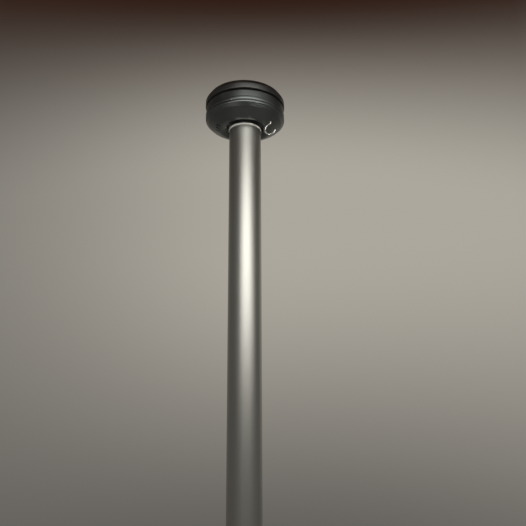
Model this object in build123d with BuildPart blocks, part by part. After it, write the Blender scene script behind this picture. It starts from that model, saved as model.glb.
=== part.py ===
"""Sectional aluminium flagpole with a revolving head.

Frame: +Z up, the origin on the underside of the base plate, on the pole's axis.
The pole stands in a galvanised sleeve on a bolt-down plate. Two tubes meet at a
plastic ring half way up. A turned plug closes the top, and a spindle in it carries
the head: a fixed lid, and below it a moulded collar that turns freely with the hook.
"""
import os
from math import atan2, cos, degrees, radians, sin, tan

from build123d import *

# ---------------------------------------------------------------- driving dimensions (mm)
TUBE_RADIUS = 30.0
TUBE_WALL = 2.0
LOWER_TUBE_LENGTH = 2000.0
UPPER_TUBE_LENGTH = 2000.0

PLATE_WIDTH = 220.0
PLATE_THICKNESS = 12.0
PLATE_CORNER = 16.0
PLATE_EDGE = 1.0
ANCHOR_SPACING = 160.0
ANCHOR_HOLE_RADIUS = 7.0

SLEEVE_WALL = 3.0
SLEEVE_GAP = 2.0            # between the pole and the sleeve's bore, filled by the ring
SLEEVE_HEIGHT = 350.0
GUSSET_THICKNESS = 6.0
GUSSET_REACH = 58.0
GUSSET_HEIGHT = 120.0
GUSSET_TOE = 12.0
GUSSET_COUNT = 4
RING_FLANGE_HEIGHT = 5.0
RING_FLANGE_OVERHANG = 1.5
RING_SKIRT_DEPTH = 24.0
CLAMP_COUNT = 3
CLAMP_BELOW_TOP = 45.0
CLAMP_THREAD_RADIUS = 5.0
CLAMP_NUT_FLATS = 17.0
CLAMP_NUT_HEIGHT = 9.0
CLAMP_HEAD_HEIGHT = 6.5
CLAMP_HEAD_STANDOFF = 6.0

JOINT_RING_HEIGHT = 4.0
COUPLER_WALL = 3.0
COUPLER_LENGTH = 320.0

PLUG_FLANGE_OVERHANG = 1.0
PLUG_FLANGE_HEIGHT = 3.8
PLUG_FLANGE_CHAMFER = 1.2
PLUG_DEPTH = 45.0
SPINDLE_RADIUS = 8.0
SPINDLE_STUD_RADIUS = 6.0
SPINDLE_STUD_LENGTH = 30.0
TAP_RUNOUT = 2.0            # tapped depth past the end of the lid's screw
LOWER_WASHER_RADIUS = 20.0
LOWER_WASHER_HEIGHT = 3.0
UPPER_WASHER_HEIGHT = 2.0

# Heights in the head are measured from the middle of the running gap under the lid.
RUNNING_GAP = 2.6
FLANGE_TOP_BELOW_GAP = 39.9

COLLAR_RADIUS = 73.7
COLLAR_WALL = 5.0
COLLAR_EDGE = 0.8
COLLAR_SIDE_HEIGHT = 12.6
BEAD_HEIGHT = 6.0
BEAD_RISE = 1.0
BEAD_EDGE = 1.6             # width of the bead's sloping edges
LIP_GROOVE_HEIGHT = 1.0
LIP_GROOVE_DEPTH = 0.6
LIP_HEIGHT = 4.2
LIP_EDGE = 1.0
SHOULDER_WIDTH = 4.9        # steep cone just under the lip
SHOULDER_ANGLE = 45.0       # degrees below level
FLANK_ANGLE = 28.0          # the long cone of the bowl
CREST_FILLET = 14.0         # round foot of the bowl
DISH_ANGLE = 26.0           # cone that rises from the foot in to the neck
DISH_WIDTH = 5.1
NECK_GAP = 3.5              # radial, between the plug's flange and the collar's neck
HUB_RADIUS = 17.0
HUB_TOP = 3.0
COLLAR_RIB_COUNT = 8
COLLAR_RIB_THICKNESS = 2.5
COLLAR_RIB_TOP = -9.0
RIB_BITE = 1.5              # how far a rib runs into the wall that carries it
NOTCH_COUNT = 26
NOTCH_WIDTH = 2.2
NOTCH_LENGTH = 3.6
NOTCH_DEPTH = 0.6           # above the neck's edge
NOTCH_MARGIN = 0.8          # from the neck's edge to the notches
SLOT_COUNT = 3
SLOT_PITCH = 10.0           # degrees between neighbours
SLOT_BEARING = 188.5        # degrees from +X, at the middle slot
SLOT_FROM_CREST = 8.3
SLOT_LENGTH = 6.5
SLOT_WIDTH = 2.4
SLOT_DEPTH = 0.6            # at the outer end

LID_OVERHANG = 1.3
LID_WALL = 4.5
LID_SIDE_HEIGHT = 9.4
LID_BEVEL_WIDTH = 5.8
LID_BEVEL_HEIGHT = 8.4
LID_CROWN_RISE = 3.4
LID_EDGE = 1.2
LID_HUB_RADIUS = 18.0
LID_RIB_COUNT = 6
LID_RIB_THICKNESS = 2.5
LID_RIB_CLEARANCE = 5.3     # over the collar's hub, which turns below
SCREW_HEAD_RADIUS = 9.0
SCREW_HEAD_HEIGHT = 4.6
SCREW_HEAD_BEVEL = 2.4
SCREW_SHANK_RADIUS = 4.0
SCREW_SHANK_LENGTH = 28.0
SCREW_SOCKET_FLATS = 6.0
SCREW_SOCKET_DEPTH = 2.6
SCREW_POCKET_MARGIN = 3.0
SCREW_POCKET_DEPTH = 5.6

HOOK_WIRE_RADIUS = 1.5
HOOK_FROM_CREST = 8.9
HOOK_BEARING = -28.5        # degrees from +X
HOOK_TURN = -15.0           # bearing of the hook's own plane
HOOK_SHANK_DEPTH = 12.0
HOOK_SHANK_STANDOFF = 1.4
HOOK_BEND_RADIUS = 2.4
HOOK_SLANT = 60.0           # degrees the slant leans from the shank
HOOK_SLANT_LENGTH = 5.0
HOOK_BELLY_RADIUS = 9.6
HOOK_BELLY_SWEEP = 223.0    # degrees
HOOK_TIP_LENGTH = 1.0
HOOK_TIP_BEVEL = 0.6
HOOK_BOSS_RADIUS = 5.5
HOOK_BOSS_CAP = 2.0

# ---------------------------------------------------------------- named clearances (mm)
BEARING_CLEARANCE = 0.05    # radial, spindle in the collar
AXIAL_PLAY = 0.2            # collar between its two washers
SEAT_CLEARANCE = 0.15       # radial, fixed pieces slid into each other
WELD_CLEARANCE = 0.05       # curved faces that are welded together
THREAD_CLEARANCE = 0.1
CUT_MARGIN = 1.0            # how far a cutting profile runs past the face it opens

# ---------------------------------------------------------------- levels and fits
tube_bore = TUBE_RADIUS - TUBE_WALL
lower_tube_bottom = PLATE_THICKNESS
lower_tube_top = lower_tube_bottom + LOWER_TUBE_LENGTH
upper_tube_bottom = lower_tube_top + JOINT_RING_HEIGHT
upper_tube_top = upper_tube_bottom + UPPER_TUBE_LENGTH
flange_top = upper_tube_top + PLUG_FLANGE_HEIGHT
gap_level = flange_top + FLANGE_TOP_BELOW_GAP

sleeve_bore = TUBE_RADIUS + SLEEVE_GAP
sleeve_radius = sleeve_bore + SLEEVE_WALL
sleeve_top = PLATE_THICKNESS + SLEEVE_HEIGHT
clamp_level = sleeve_top - CLAMP_BELOW_TOP

collar_top = gap_level - RUNNING_GAP / 2
lip_bottom = collar_top - COLLAR_SIDE_HEIGHT - BEAD_HEIGHT - LIP_GROOVE_HEIGHT - LIP_HEIGHT
groove_radius = COLLAR_RADIUS - LIP_GROOVE_DEPTH
neck_radius = TUBE_RADIUS + PLUG_FLANGE_OVERHANG + NECK_GAP

# The bowl's half section, from the lip in: shoulder, flank, round crest, dish, neck.
shoulder_radius = COLLAR_RADIUS - SHOULDER_WIDTH
shoulder_level = lip_bottom - SHOULDER_WIDTH * tan(radians(SHOULDER_ANGLE))
dish_radius = neck_radius + DISH_WIDTH
crest_radius = dish_radius + CREST_FILLET * sin(radians(DISH_ANGLE))
turn_radius = crest_radius + CREST_FILLET * sin(radians(FLANK_ANGLE))
turn_level = shoulder_level - (shoulder_radius - turn_radius) * tan(radians(FLANK_ANGLE))
crest_centre = turn_level + CREST_FILLET * cos(radians(FLANK_ANGLE))
crest_level = crest_centre - CREST_FILLET
dish_level = crest_centre - CREST_FILLET * cos(radians(DISH_ANGLE))
neck_level = dish_level + DISH_WIDTH * tan(radians(DISH_ANGLE))
web_bottom = neck_level + COLLAR_WALL

washer_bore = SPINDLE_RADIUS + SEAT_CLEARANCE
lower_washer_top = flange_top + LOWER_WASHER_HEIGHT
hub_bottom = lower_washer_top + AXIAL_PLAY
hub_top = gap_level + HUB_TOP
upper_washer_bottom = hub_top + AXIAL_PLAY
spindle_shoulder = upper_washer_bottom + UPPER_WASHER_HEIGHT + AXIAL_PLAY

lid_bottom = gap_level + RUNNING_GAP / 2
lid_side_top = lid_bottom + LID_SIDE_HEIGHT
lid_bevel_top = lid_side_top + LID_BEVEL_HEIGHT
lid_centre_top = lid_bevel_top + LID_CROWN_RISE
lid_radius = COLLAR_RADIUS + LID_OVERHANG
lid_top_radius = lid_radius - LID_BEVEL_WIDTH
lid_rib_bottom = hub_top + LID_RIB_CLEARANCE
screw_seat = lid_centre_top - SCREW_POCKET_DEPTH

os.makedirs("parts", exist_ok=True)


def write(builder, name):
    """Label a finished piece and write it as its own STEP file."""
    builder.part.label = name
    export_step(builder.part, f"parts/{name}.step")


def tube(outer, inner, bottom, length):
    """A plain round tube on the pole's axis."""
    with BuildPart() as piece:
        with BuildSketch(Plane.XY.offset(bottom)):
            Circle(outer)
            Circle(inner, mode=Mode.SUBTRACT)
        extrude(amount=length)
    return piece


def inset(corner, outer_angle, inner_angle, wall, up=1):
    """Corner of a hollow that lies one wall inside a corner of the skin around it.

    The angles are those of the skin's two straight runs that meet there, from level;
    up is 1 where the hollow lies above the skin, and -1 where it lies below.
    """
    middle = radians((outer_angle + inner_angle) / 2)
    reach = wall / cos(radians((outer_angle - inner_angle) / 2))
    return corner[0] - reach * sin(middle), corner[1] + up * reach * cos(middle)


# ---------------------------------------------------------------- base
def base_plate():
    """Square bolt-down plate with four anchor holes."""
    with BuildPart() as piece:
        with BuildSketch():
            RectangleRounded(PLATE_WIDTH, PLATE_WIDTH, PLATE_CORNER)
            with GridLocations(ANCHOR_SPACING, ANCHOR_SPACING, 2, 2):
                Circle(ANCHOR_HOLE_RADIUS, mode=Mode.SUBTRACT)
        extrude(amount=PLATE_THICKNESS)
        chamfer(piece.faces().sort_by(Axis.Z)[-1].outer_wire().edges(), PLATE_EDGE)
    return piece


def base_sleeve():
    """Upright sleeve that the pole stands in, with a hole at each clamp screw."""
    with BuildPart() as piece:
        with BuildSketch(Plane.XY.offset(PLATE_THICKNESS)):
            Circle(sleeve_radius)
            Circle(sleeve_bore, mode=Mode.SUBTRACT)
        extrude(amount=SLEEVE_HEIGHT)
        for index in range(CLAMP_COUNT):
            with BuildSketch(clamp_plane(index)):
                Circle(CLAMP_THREAD_RADIUS + THREAD_CLEARANCE)
            extrude(amount=sleeve_radius + SLEEVE_WALL, mode=Mode.SUBTRACT)
    return piece


def clamp_plane(index):
    """Plane on the pole's axis whose normal runs out along one clamp screw."""
    bearing = radians(90 + 360 / CLAMP_COUNT * index)
    outward = (cos(bearing), sin(bearing), 0)
    return Plane(origin=(0, 0, clamp_level), x_dir=(0, 0, 1), z_dir=outward)


def clamp_nut(index):
    """Hexagon nut welded to the sleeve, its inner face cut to the sleeve's curve."""
    with BuildPart() as piece:
        with BuildSketch(clamp_plane(index).offset(sleeve_radius - SLEEVE_WALL)):
            RegularPolygon(CLAMP_NUT_FLATS / 2, 6, major_radius=False)
            Circle(CLAMP_THREAD_RADIUS + THREAD_CLEARANCE, mode=Mode.SUBTRACT)
        extrude(amount=SLEEVE_WALL + CLAMP_NUT_HEIGHT)
        with BuildSketch(Plane.XY.offset(clamp_level - CLAMP_NUT_FLATS)):
            Circle(sleeve_radius + WELD_CLEARANCE)
        extrude(amount=2 * CLAMP_NUT_FLATS, mode=Mode.SUBTRACT)
    return piece


def clamp_screw(index):
    """Hexagon screw through nut and sleeve, its tip just against the pole."""
    tip = TUBE_RADIUS + SEAT_CLEARANCE
    head = sleeve_radius + CLAMP_NUT_HEIGHT + CLAMP_HEAD_STANDOFF
    with BuildPart() as piece:
        with BuildSketch(clamp_plane(index).offset(tip)):
            Circle(CLAMP_THREAD_RADIUS)
        extrude(amount=head - tip)
        with BuildSketch(clamp_plane(index).offset(head)):
            RegularPolygon(CLAMP_NUT_FLATS / 2, 6, major_radius=False)
        extrude(amount=CLAMP_HEAD_HEIGHT)
    return piece


def base_gusset(index):
    """Triangular stiffener between plate and sleeve, with its tips cut square."""
    inner = sleeve_radius + WELD_CLEARANCE
    outer = sleeve_radius + GUSSET_REACH
    floor = PLATE_THICKNESS
    roof = floor + GUSSET_HEIGHT
    bearing = 360 / GUSSET_COUNT * index
    upright = Plane.XZ.rotated((0, 0, bearing))
    with BuildPart() as piece:
        with BuildSketch(upright):
            with BuildLine():
                Polyline((inner, floor), (outer, floor), (outer, floor + GUSSET_TOE),
                         (inner + GUSSET_TOE, roof), (inner, roof), close=True)
            make_face()
        extrude(amount=GUSSET_THICKNESS / 2, both=True)
        with BuildSketch(Plane.XY.offset(floor)):
            Circle(inner)
        extrude(amount=GUSSET_HEIGHT, mode=Mode.SUBTRACT)
    return piece


def centring_ring():
    """Flanged plastic ring that centres the pole in the mouth of the sleeve."""
    bore = TUBE_RADIUS + SEAT_CLEARANCE
    skirt = sleeve_bore - SEAT_CLEARANCE
    flange = sleeve_radius + RING_FLANGE_OVERHANG
    flange_level = sleeve_top + RING_FLANGE_HEIGHT
    skirt_level = sleeve_top - RING_SKIRT_DEPTH
    with BuildPart() as piece:
        with BuildSketch(Plane.XZ):
            with BuildLine():
                Polyline((bore, skirt_level), (skirt, skirt_level), (skirt, sleeve_top),
                         (flange, sleeve_top), (flange, flange_level), (bore, flange_level),
                         close=True)
            make_face()
        revolve(axis=Axis.Z)
    return piece


# ---------------------------------------------------------------- pole
def top_plug():
    """Turned plug in the tube's end; its polished flange shows as a bright rim."""
    flange_radius = TUBE_RADIUS + PLUG_FLANGE_OVERHANG
    with BuildPart() as piece:
        with BuildSketch(Plane.XY.offset(upper_tube_top)):
            Circle(flange_radius)
        extrude(amount=PLUG_FLANGE_HEIGHT)
        chamfer(piece.faces().sort_by(Axis.Z)[-1].edges(), PLUG_FLANGE_CHAMFER)
        with BuildSketch(Plane.XY.offset(upper_tube_top)):
            Circle(tube_bore - SEAT_CLEARANCE)
        extrude(amount=-PLUG_DEPTH)
        with BuildSketch(Plane.XY.offset(flange_top)):
            Circle(SPINDLE_STUD_RADIUS + THREAD_CLEARANCE)
        extrude(amount=-(PLUG_FLANGE_HEIGHT + PLUG_DEPTH), mode=Mode.SUBTRACT)
    return piece


def head_spindle():
    """Stepped pin: a stud in the plug, the bearing length, and a tapped upper end."""
    with BuildPart() as piece:
        with BuildSketch(Plane.XY.offset(flange_top - SPINDLE_STUD_LENGTH)):
            Circle(SPINDLE_STUD_RADIUS)
        extrude(amount=SPINDLE_STUD_LENGTH)
        with BuildSketch(Plane.XY.offset(flange_top)):
            Circle(SPINDLE_RADIUS)
        extrude(amount=spindle_shoulder - flange_top)
        tapped_depth = SCREW_SHANK_LENGTH - (screw_seat - spindle_shoulder) + TAP_RUNOUT
        with BuildSketch(Plane.XY.offset(spindle_shoulder)):
            Circle(SCREW_SHANK_RADIUS + THREAD_CLEARANCE)
        extrude(amount=-tapped_depth, mode=Mode.SUBTRACT)
    return piece


# ---------------------------------------------------------------- revolving collar
def bowl_level(radius):
    """Level of the bowl's skin at a distance from the axis, between neck and shoulder."""
    if radius > turn_radius:
        return turn_level + (radius - turn_radius) * tan(radians(FLANK_ANGLE))
    if radius < dish_radius:
        return dish_level + (dish_radius - radius) * tan(radians(DISH_ANGLE))
    return crest_centre - (CREST_FILLET ** 2 - (radius - crest_radius) ** 2) ** 0.5


def collar_outside():
    """Half section of the collar filled solid: side, bead, lip, bowl, neck, hub."""
    bead_top = collar_top - COLLAR_SIDE_HEIGHT
    bead_bottom = bead_top - BEAD_HEIGHT
    bead_radius = COLLAR_RADIUS + BEAD_RISE
    lip_top = bead_bottom - LIP_GROOVE_HEIGHT
    bore = SPINDLE_RADIUS + BEARING_CLEARANCE
    with BuildSketch(Plane.XZ) as section:
        with BuildLine():
            Polyline((bore, hub_top), (HUB_RADIUS, hub_top), (HUB_RADIUS, collar_top),
                     (COLLAR_RADIUS - COLLAR_EDGE, collar_top),
                     (COLLAR_RADIUS, collar_top - COLLAR_EDGE), (COLLAR_RADIUS, bead_top),
                     (bead_radius, bead_top - BEAD_EDGE), (bead_radius, bead_bottom + BEAD_EDGE),
                     (groove_radius, bead_bottom), (groove_radius, lip_top),
                     (bead_radius, lip_top - LIP_EDGE), (bead_radius, lip_bottom + LIP_EDGE),
                     (COLLAR_RADIUS, lip_bottom), (shoulder_radius, shoulder_level),
                     (turn_radius, turn_level))
            ThreePointArc((turn_radius, turn_level), (crest_radius, crest_level),
                          (dish_radius, dish_level))
            Polyline((dish_radius, dish_level), (neck_radius, neck_level),
                     (neck_radius, web_bottom), (HUB_RADIUS, web_bottom),
                     (HUB_RADIUS, hub_bottom), (bore, hub_bottom), (bore, hub_top))
        make_face()
    return section.sketch


def collar_hollow(bite, roof):
    """Half section of the hollow above the bowl, one wall inside its skin, less a bite."""
    wall = COLLAR_WALL - bite
    hub = HUB_RADIUS - bite
    web_top = web_bottom + wall
    floor = crest_level + wall
    foot_radius = turn_radius - (turn_level - crest_level) / tan(radians(FLANK_ANGLE))
    foot = inset((foot_radius, crest_level), FLANK_ANGLE, 0, wall)
    knuckle = inset((shoulder_radius, shoulder_level), SHOULDER_ANGLE, FLANK_ANGLE, wall)
    rim = inset((COLLAR_RADIUS, lip_bottom), 90, SHOULDER_ANGLE, wall)
    with BuildSketch(Plane.XZ) as section:
        with BuildLine():
            Polyline((hub, roof), (hub, web_top), (neck_radius + wall, web_top),
                     (neck_radius + wall, floor), foot, knuckle, rim, (rim[0], roof),
                     close=True)
        make_face()
    return section.sketch


def rib_star(thickness, count, reach, bottom, top):
    """Evenly spaced upright blades that cross on the axis, to be trimmed to a section."""
    with BuildPart() as star:
        with BuildSketch(Plane.XY.offset(bottom)):
            with PolarLocations(reach / 2, count):
                Rectangle(reach, thickness)
        extrude(amount=top - bottom)
    return star.part


def trimmed_ribs(section, star):
    """The blades of a star where they cross the hollow that a half section sweeps."""
    with BuildPart() as ribs:
        revolve(section, axis=Axis.Z)
        add(star, mode=Mode.INTERSECT)
    return ribs.part


def head_collar():
    """Moulded bowl that turns on the spindle and carries the hook, ribbed inside."""
    rib_top = gap_level + COLLAR_RIB_TOP
    star = rib_star(COLLAR_RIB_THICKNESS, COLLAR_RIB_COUNT, COLLAR_RADIUS, crest_level, rib_top)
    ribs = trimmed_ribs(collar_hollow(RIB_BITE, rib_top), star)
    outside = collar_outside()
    hollow = collar_hollow(0, collar_top + CUT_MARGIN)
    notch_radius = neck_radius + NOTCH_MARGIN + NOTCH_LENGTH / 2
    slot_radius = crest_radius + SLOT_FROM_CREST
    slot_roof = bowl_level(slot_radius + SLOT_LENGTH / 2) + SLOT_DEPTH
    slot_fan = SLOT_PITCH * (SLOT_COUNT - 1)
    hook_hole_top = hook_level + HOOK_SHANK_DEPTH
    with BuildPart() as piece:
        revolve(outside, axis=Axis.Z)
        revolve(hollow, axis=Axis.Z, mode=Mode.SUBTRACT)
        add(ribs)
        with BuildSketch(Plane.XY.offset(hook_hole_top + HOOK_BOSS_CAP)):
            with Locations(hook_root):
                Circle(HOOK_BOSS_RADIUS)
        extrude(amount=-(HOOK_SHANK_DEPTH + HOOK_BOSS_CAP - COLLAR_WALL / 2))
        with BuildSketch(Plane.XY.offset(hook_hole_top)):
            with Locations(hook_root):
                Circle(HOOK_WIRE_RADIUS + THREAD_CLEARANCE)
        extrude(amount=-2 * HOOK_SHANK_DEPTH, mode=Mode.SUBTRACT)
        with BuildSketch(Plane.XY.offset(neck_level + NOTCH_DEPTH)):
            with PolarLocations(notch_radius, NOTCH_COUNT):
                Rectangle(NOTCH_LENGTH, NOTCH_WIDTH)
        extrude(amount=-(neck_level + NOTCH_DEPTH - crest_level + CUT_MARGIN), mode=Mode.SUBTRACT)
        with BuildSketch(Plane.XY.offset(slot_roof)):
            with PolarLocations(slot_radius, SLOT_COUNT, endpoint=True, angular_range=slot_fan,
                                start_angle=SLOT_BEARING - slot_fan / 2):
                SlotOverall(SLOT_LENGTH, SLOT_WIDTH)
        extrude(amount=-(slot_roof - crest_level + CUT_MARGIN), mode=Mode.SUBTRACT)
    return piece


# ---------------------------------------------------------------- hook
hook_pitch_radius = crest_radius + HOOK_FROM_CREST
hook_level = bowl_level(hook_pitch_radius)
hook_root = (hook_pitch_radius * cos(radians(HOOK_BEARING)),
             hook_pitch_radius * sin(radians(HOOK_BEARING)))


def flag_hook():
    """Open wire hook: a shank let into the collar, a slant, and a round eye left open."""
    along = (cos(radians(HOOK_TURN)), sin(radians(HOOK_TURN)), 0)
    across = (sin(radians(HOOK_TURN)), -cos(radians(HOOK_TURN)), 0)
    upright = Plane(origin=(*hook_root, hook_level), x_dir=along, z_dir=across)
    with BuildPart() as piece:
        with BuildLine(upright) as wire:
            shank = Line((0, HOOK_SHANK_DEPTH), (0, -HOOK_SHANK_STANDOFF))
            bend = JernArc(shank @ 1, shank % 1, HOOK_BEND_RADIUS, -HOOK_SLANT)
            slant = Line(bend @ 1, bend @ 1 + bend % 1 * HOOK_SLANT_LENGTH)
            belly = JernArc(slant @ 1, slant % 1, HOOK_BELLY_RADIUS, HOOK_BELLY_SWEEP)
            Line(belly @ 1, belly @ 1 + belly % 1 * HOOK_TIP_LENGTH)
        with BuildSketch(Plane.XY.offset(hook_level + HOOK_SHANK_DEPTH)):
            with Locations(hook_root):
                Circle(HOOK_WIRE_RADIUS)
        sweep(path=wire.line)
        tip = piece.faces().filter_by(GeomType.PLANE).sort_by(Axis.Z)[0]
        chamfer(tip.edges(), HOOK_TIP_BEVEL)
    return piece


# ---------------------------------------------------------------- lid
def lid_hollow(bite, floor):
    """Half section of the hollow under the lid, one wall inside its skin, less a bite."""
    wall = LID_WALL - bite
    hub = LID_HUB_RADIUS - bite
    bevel_angle = degrees(atan2(LID_BEVEL_HEIGHT, LID_BEVEL_WIDTH))
    rim = inset((lid_radius, lid_side_top), 90, bevel_angle, wall, up=-1)
    shoulder = inset((lid_top_radius, lid_bevel_top), bevel_angle, 0, wall, up=-1)
    with BuildSketch(Plane.XZ) as section:
        with BuildLine():
            Polyline((hub, floor), (rim[0], floor), rim, shoulder, (hub, shoulder[1]), close=True)
        make_face()
    return section.sketch


def head_lid():
    """Moulded cap fixed on the spindle: bevelled rim, crowned top, hub and ribs inside."""
    star = rib_star(LID_RIB_THICKNESS, LID_RIB_COUNT, lid_radius, lid_rib_bottom, lid_bevel_top)
    ribs = trimmed_ribs(lid_hollow(RIB_BITE, lid_rib_bottom), star)
    hollow = lid_hollow(0, lid_bottom - CUT_MARGIN)
    with BuildPart() as piece:
        with BuildSketch(Plane.XZ):
            with BuildLine():
                Polyline((0, lid_centre_top), (0, lid_bottom), (lid_radius, lid_bottom),
                         (lid_radius, lid_side_top), (lid_top_radius, lid_bevel_top), close=True)
            make_face()
        revolve(axis=Axis.Z)
        chamfer(piece.edges().filter_by(GeomType.CIRCLE), LID_EDGE)
        revolve(hollow, axis=Axis.Z, mode=Mode.SUBTRACT)
        with BuildSketch(Plane.XY.offset(spindle_shoulder)):
            Circle(LID_HUB_RADIUS)
        extrude(amount=-(spindle_shoulder - lid_bottom), mode=Mode.SUBTRACT)
        add(ribs)
        with BuildSketch(Plane.XY.offset(screw_seat)):
            Circle(SCREW_HEAD_RADIUS + SCREW_POCKET_MARGIN)
        extrude(amount=SCREW_POCKET_DEPTH, mode=Mode.SUBTRACT)
        with BuildSketch(Plane.XY.offset(screw_seat)):
            Circle(SCREW_SHANK_RADIUS + 2 * SEAT_CLEARANCE)
        extrude(amount=-(screw_seat - lid_bottom), mode=Mode.SUBTRACT)
    return piece


def lid_screw():
    """Bevelled-head screw with a hexagon socket that holds the lid on the spindle."""
    with BuildPart() as piece:
        with BuildSketch(Plane.XY.offset(screw_seat)):
            Circle(SCREW_HEAD_RADIUS)
        extrude(amount=SCREW_HEAD_HEIGHT)
        chamfer(piece.faces().sort_by(Axis.Z)[-1].edges(), SCREW_HEAD_BEVEL)
        with BuildSketch(Plane.XY.offset(screw_seat + SCREW_HEAD_HEIGHT)):
            RegularPolygon(SCREW_SOCKET_FLATS / 2, 6, major_radius=False)
        extrude(amount=-SCREW_SOCKET_DEPTH, mode=Mode.SUBTRACT)
        with BuildSketch(Plane.XY.offset(screw_seat)):
            Circle(SCREW_SHANK_RADIUS)
        extrude(amount=-SCREW_SHANK_LENGTH)
    return piece


# ---------------------------------------------------------------- build and write
def build_all():
    """Make every piece and write it under its own name."""
    write(base_plate(), "base_plate")
    write(base_sleeve(), "base_sleeve")
    write(centring_ring(), "centring_ring")
    for index in range(GUSSET_COUNT):
        write(base_gusset(index), f"base_gusset_{index + 1}")
    for index in range(CLAMP_COUNT):
        write(clamp_nut(index), f"clamp_nut_{index + 1}")
        write(clamp_screw(index), f"clamp_screw_{index + 1}")
    write(tube(TUBE_RADIUS, tube_bore, lower_tube_bottom, LOWER_TUBE_LENGTH), "lower_tube")
    write(tube(TUBE_RADIUS, tube_bore, upper_tube_bottom, UPPER_TUBE_LENGTH), "upper_tube")
    write(tube(TUBE_RADIUS, tube_bore, lower_tube_top, JOINT_RING_HEIGHT), "joint_ring")
    coupler_radius = tube_bore - SEAT_CLEARANCE
    coupler_bottom = lower_tube_top + JOINT_RING_HEIGHT / 2 - COUPLER_LENGTH / 2
    write(tube(coupler_radius, coupler_radius - COUPLER_WALL, coupler_bottom, COUPLER_LENGTH),
          "joint_coupler")
    write(top_plug(), "top_plug")
    write(head_spindle(), "head_spindle")
    write(tube(LOWER_WASHER_RADIUS, washer_bore, flange_top, LOWER_WASHER_HEIGHT), "lower_washer")
    write(tube(HUB_RADIUS, washer_bore, upper_washer_bottom, UPPER_WASHER_HEIGHT),
          "upper_washer")
    write(head_collar(), "head_collar")
    write(flag_hook(), "flag_hook")
    write(head_lid(), "head_lid")
    write(lid_screw(), "lid_screw")


build_all()
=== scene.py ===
# %% [markdown]
# # A sectional flagpole with a revolving head
#
# The pole is two satin anodised tubes standing in a galvanised foot. A turned plug
# closes the top tube, and above it sits a moulded head: a fixed lid, and below it a
# collar that turns freely and carries an open wire hook. The construction comes in
# finished as CAD. What is made here is how it looks: round surfaces that read as
# round, edges that catch the light, and a finish for every piece.

# %% Load the frame
from math import atan2, cos, degrees, pi, radians, sin, tan

import bmesh
import bpy
from mathutils import Matrix, Vector


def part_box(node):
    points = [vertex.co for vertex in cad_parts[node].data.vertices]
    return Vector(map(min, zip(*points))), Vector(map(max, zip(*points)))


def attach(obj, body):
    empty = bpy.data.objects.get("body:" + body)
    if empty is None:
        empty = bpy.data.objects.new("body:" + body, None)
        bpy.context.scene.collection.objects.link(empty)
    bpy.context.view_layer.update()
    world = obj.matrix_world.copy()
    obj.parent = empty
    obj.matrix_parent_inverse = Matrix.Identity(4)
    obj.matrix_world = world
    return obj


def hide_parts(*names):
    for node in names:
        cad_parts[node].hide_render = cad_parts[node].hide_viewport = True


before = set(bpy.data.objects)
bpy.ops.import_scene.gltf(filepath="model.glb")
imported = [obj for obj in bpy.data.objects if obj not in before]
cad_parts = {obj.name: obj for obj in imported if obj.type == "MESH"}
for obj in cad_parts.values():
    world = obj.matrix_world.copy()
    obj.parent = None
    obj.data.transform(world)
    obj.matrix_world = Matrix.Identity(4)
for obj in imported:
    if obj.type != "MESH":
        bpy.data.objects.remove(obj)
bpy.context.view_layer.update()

# %% [markdown]
# ## Sizes
#
# Everything is in metres. Levels and radii are read off the CAD nodes, so a piece made
# here lands exactly on the one it stands for. Only the profile sizes that a box can't
# tell, such as a groove's depth, are written down, in millimetres times MM.

# %% Sizes read from the frame
MM = 0.001


def levels(node):
    """Lowest and highest level of a CAD node."""
    low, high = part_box(node)
    return low.z, high.z


def reach(node):
    """Radius of a round CAD node, taken where its outline meets the X axis."""
    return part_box(node)[1].x


tube_radius = reach("upper_tube")
tube_wall = 2.0 * MM
tube_top = levels("upper_tube")[1]
flange_top = tube_top + 3.8 * MM
lid_bottom = levels("head_lid")[0]
running_gap = 2.6 * MM
collar_top = lid_bottom - running_gap
gap_level = lid_bottom - running_gap / 2
print(f"tube radius {tube_radius:.4f}, tube top {tube_top:.4f}, gap under the lid {gap_level:.4f}")

# %% [markdown]
# ## Camera
#
# The head is seen from below and close up, about 0.7 m from the pole and 0.4 m under
# the head, with the camera tipped up a little. A wide lens from that near gives the
# pole its strong taper. The camera is built from its three directions, because a tilt
# and a slight roll are easier to read that way than as Euler angles.

# %% Camera
CAMERA_SIDE = 0.0328
CAMERA_BACK = 0.7041
CAMERA_DROP = 0.366           # below the top of the upper tube
CAMERA_PITCH = radians(9.13)
CAMERA_ROLL = radians(-0.30)
CAMERA_ANGLE = radians(67.31)

scene = bpy.context.scene
camera = bpy.data.objects.new("camera", bpy.data.cameras.new("camera"))
scene.collection.objects.link(camera)
scene.camera = camera
camera.data.sensor_width = 36
camera.data.angle = CAMERA_ANGLE
camera.data.clip_start = 0.05
camera.data.clip_end = 100

level_right = Vector((1, 0, 0))
level_up = Vector((0, -sin(CAMERA_PITCH), cos(CAMERA_PITCH)))
ahead = Vector((0, cos(CAMERA_PITCH), sin(CAMERA_PITCH)))
right = level_right * cos(CAMERA_ROLL) + level_up * sin(CAMERA_ROLL)
up = level_up * cos(CAMERA_ROLL) - level_right * sin(CAMERA_ROLL)
turn = Matrix((right, up, -ahead)).transposed().to_4x4()
camera.matrix_world = Matrix.Translation((CAMERA_SIDE, -CAMERA_BACK, tube_top - CAMERA_DROP)) @ turn
print("camera at", tuple(round(c, 4) for c in camera.matrix_world.translation))

# %% [markdown]
# ## Shared effects for the finishes
#
# Five effects are node groups with their own inputs, because most of them come back on
# several finishes, at different sizes. A group gives out masks and heights only, and the
# Principled shader stays in the material, where its constant settings can be read
# plainly.

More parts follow.
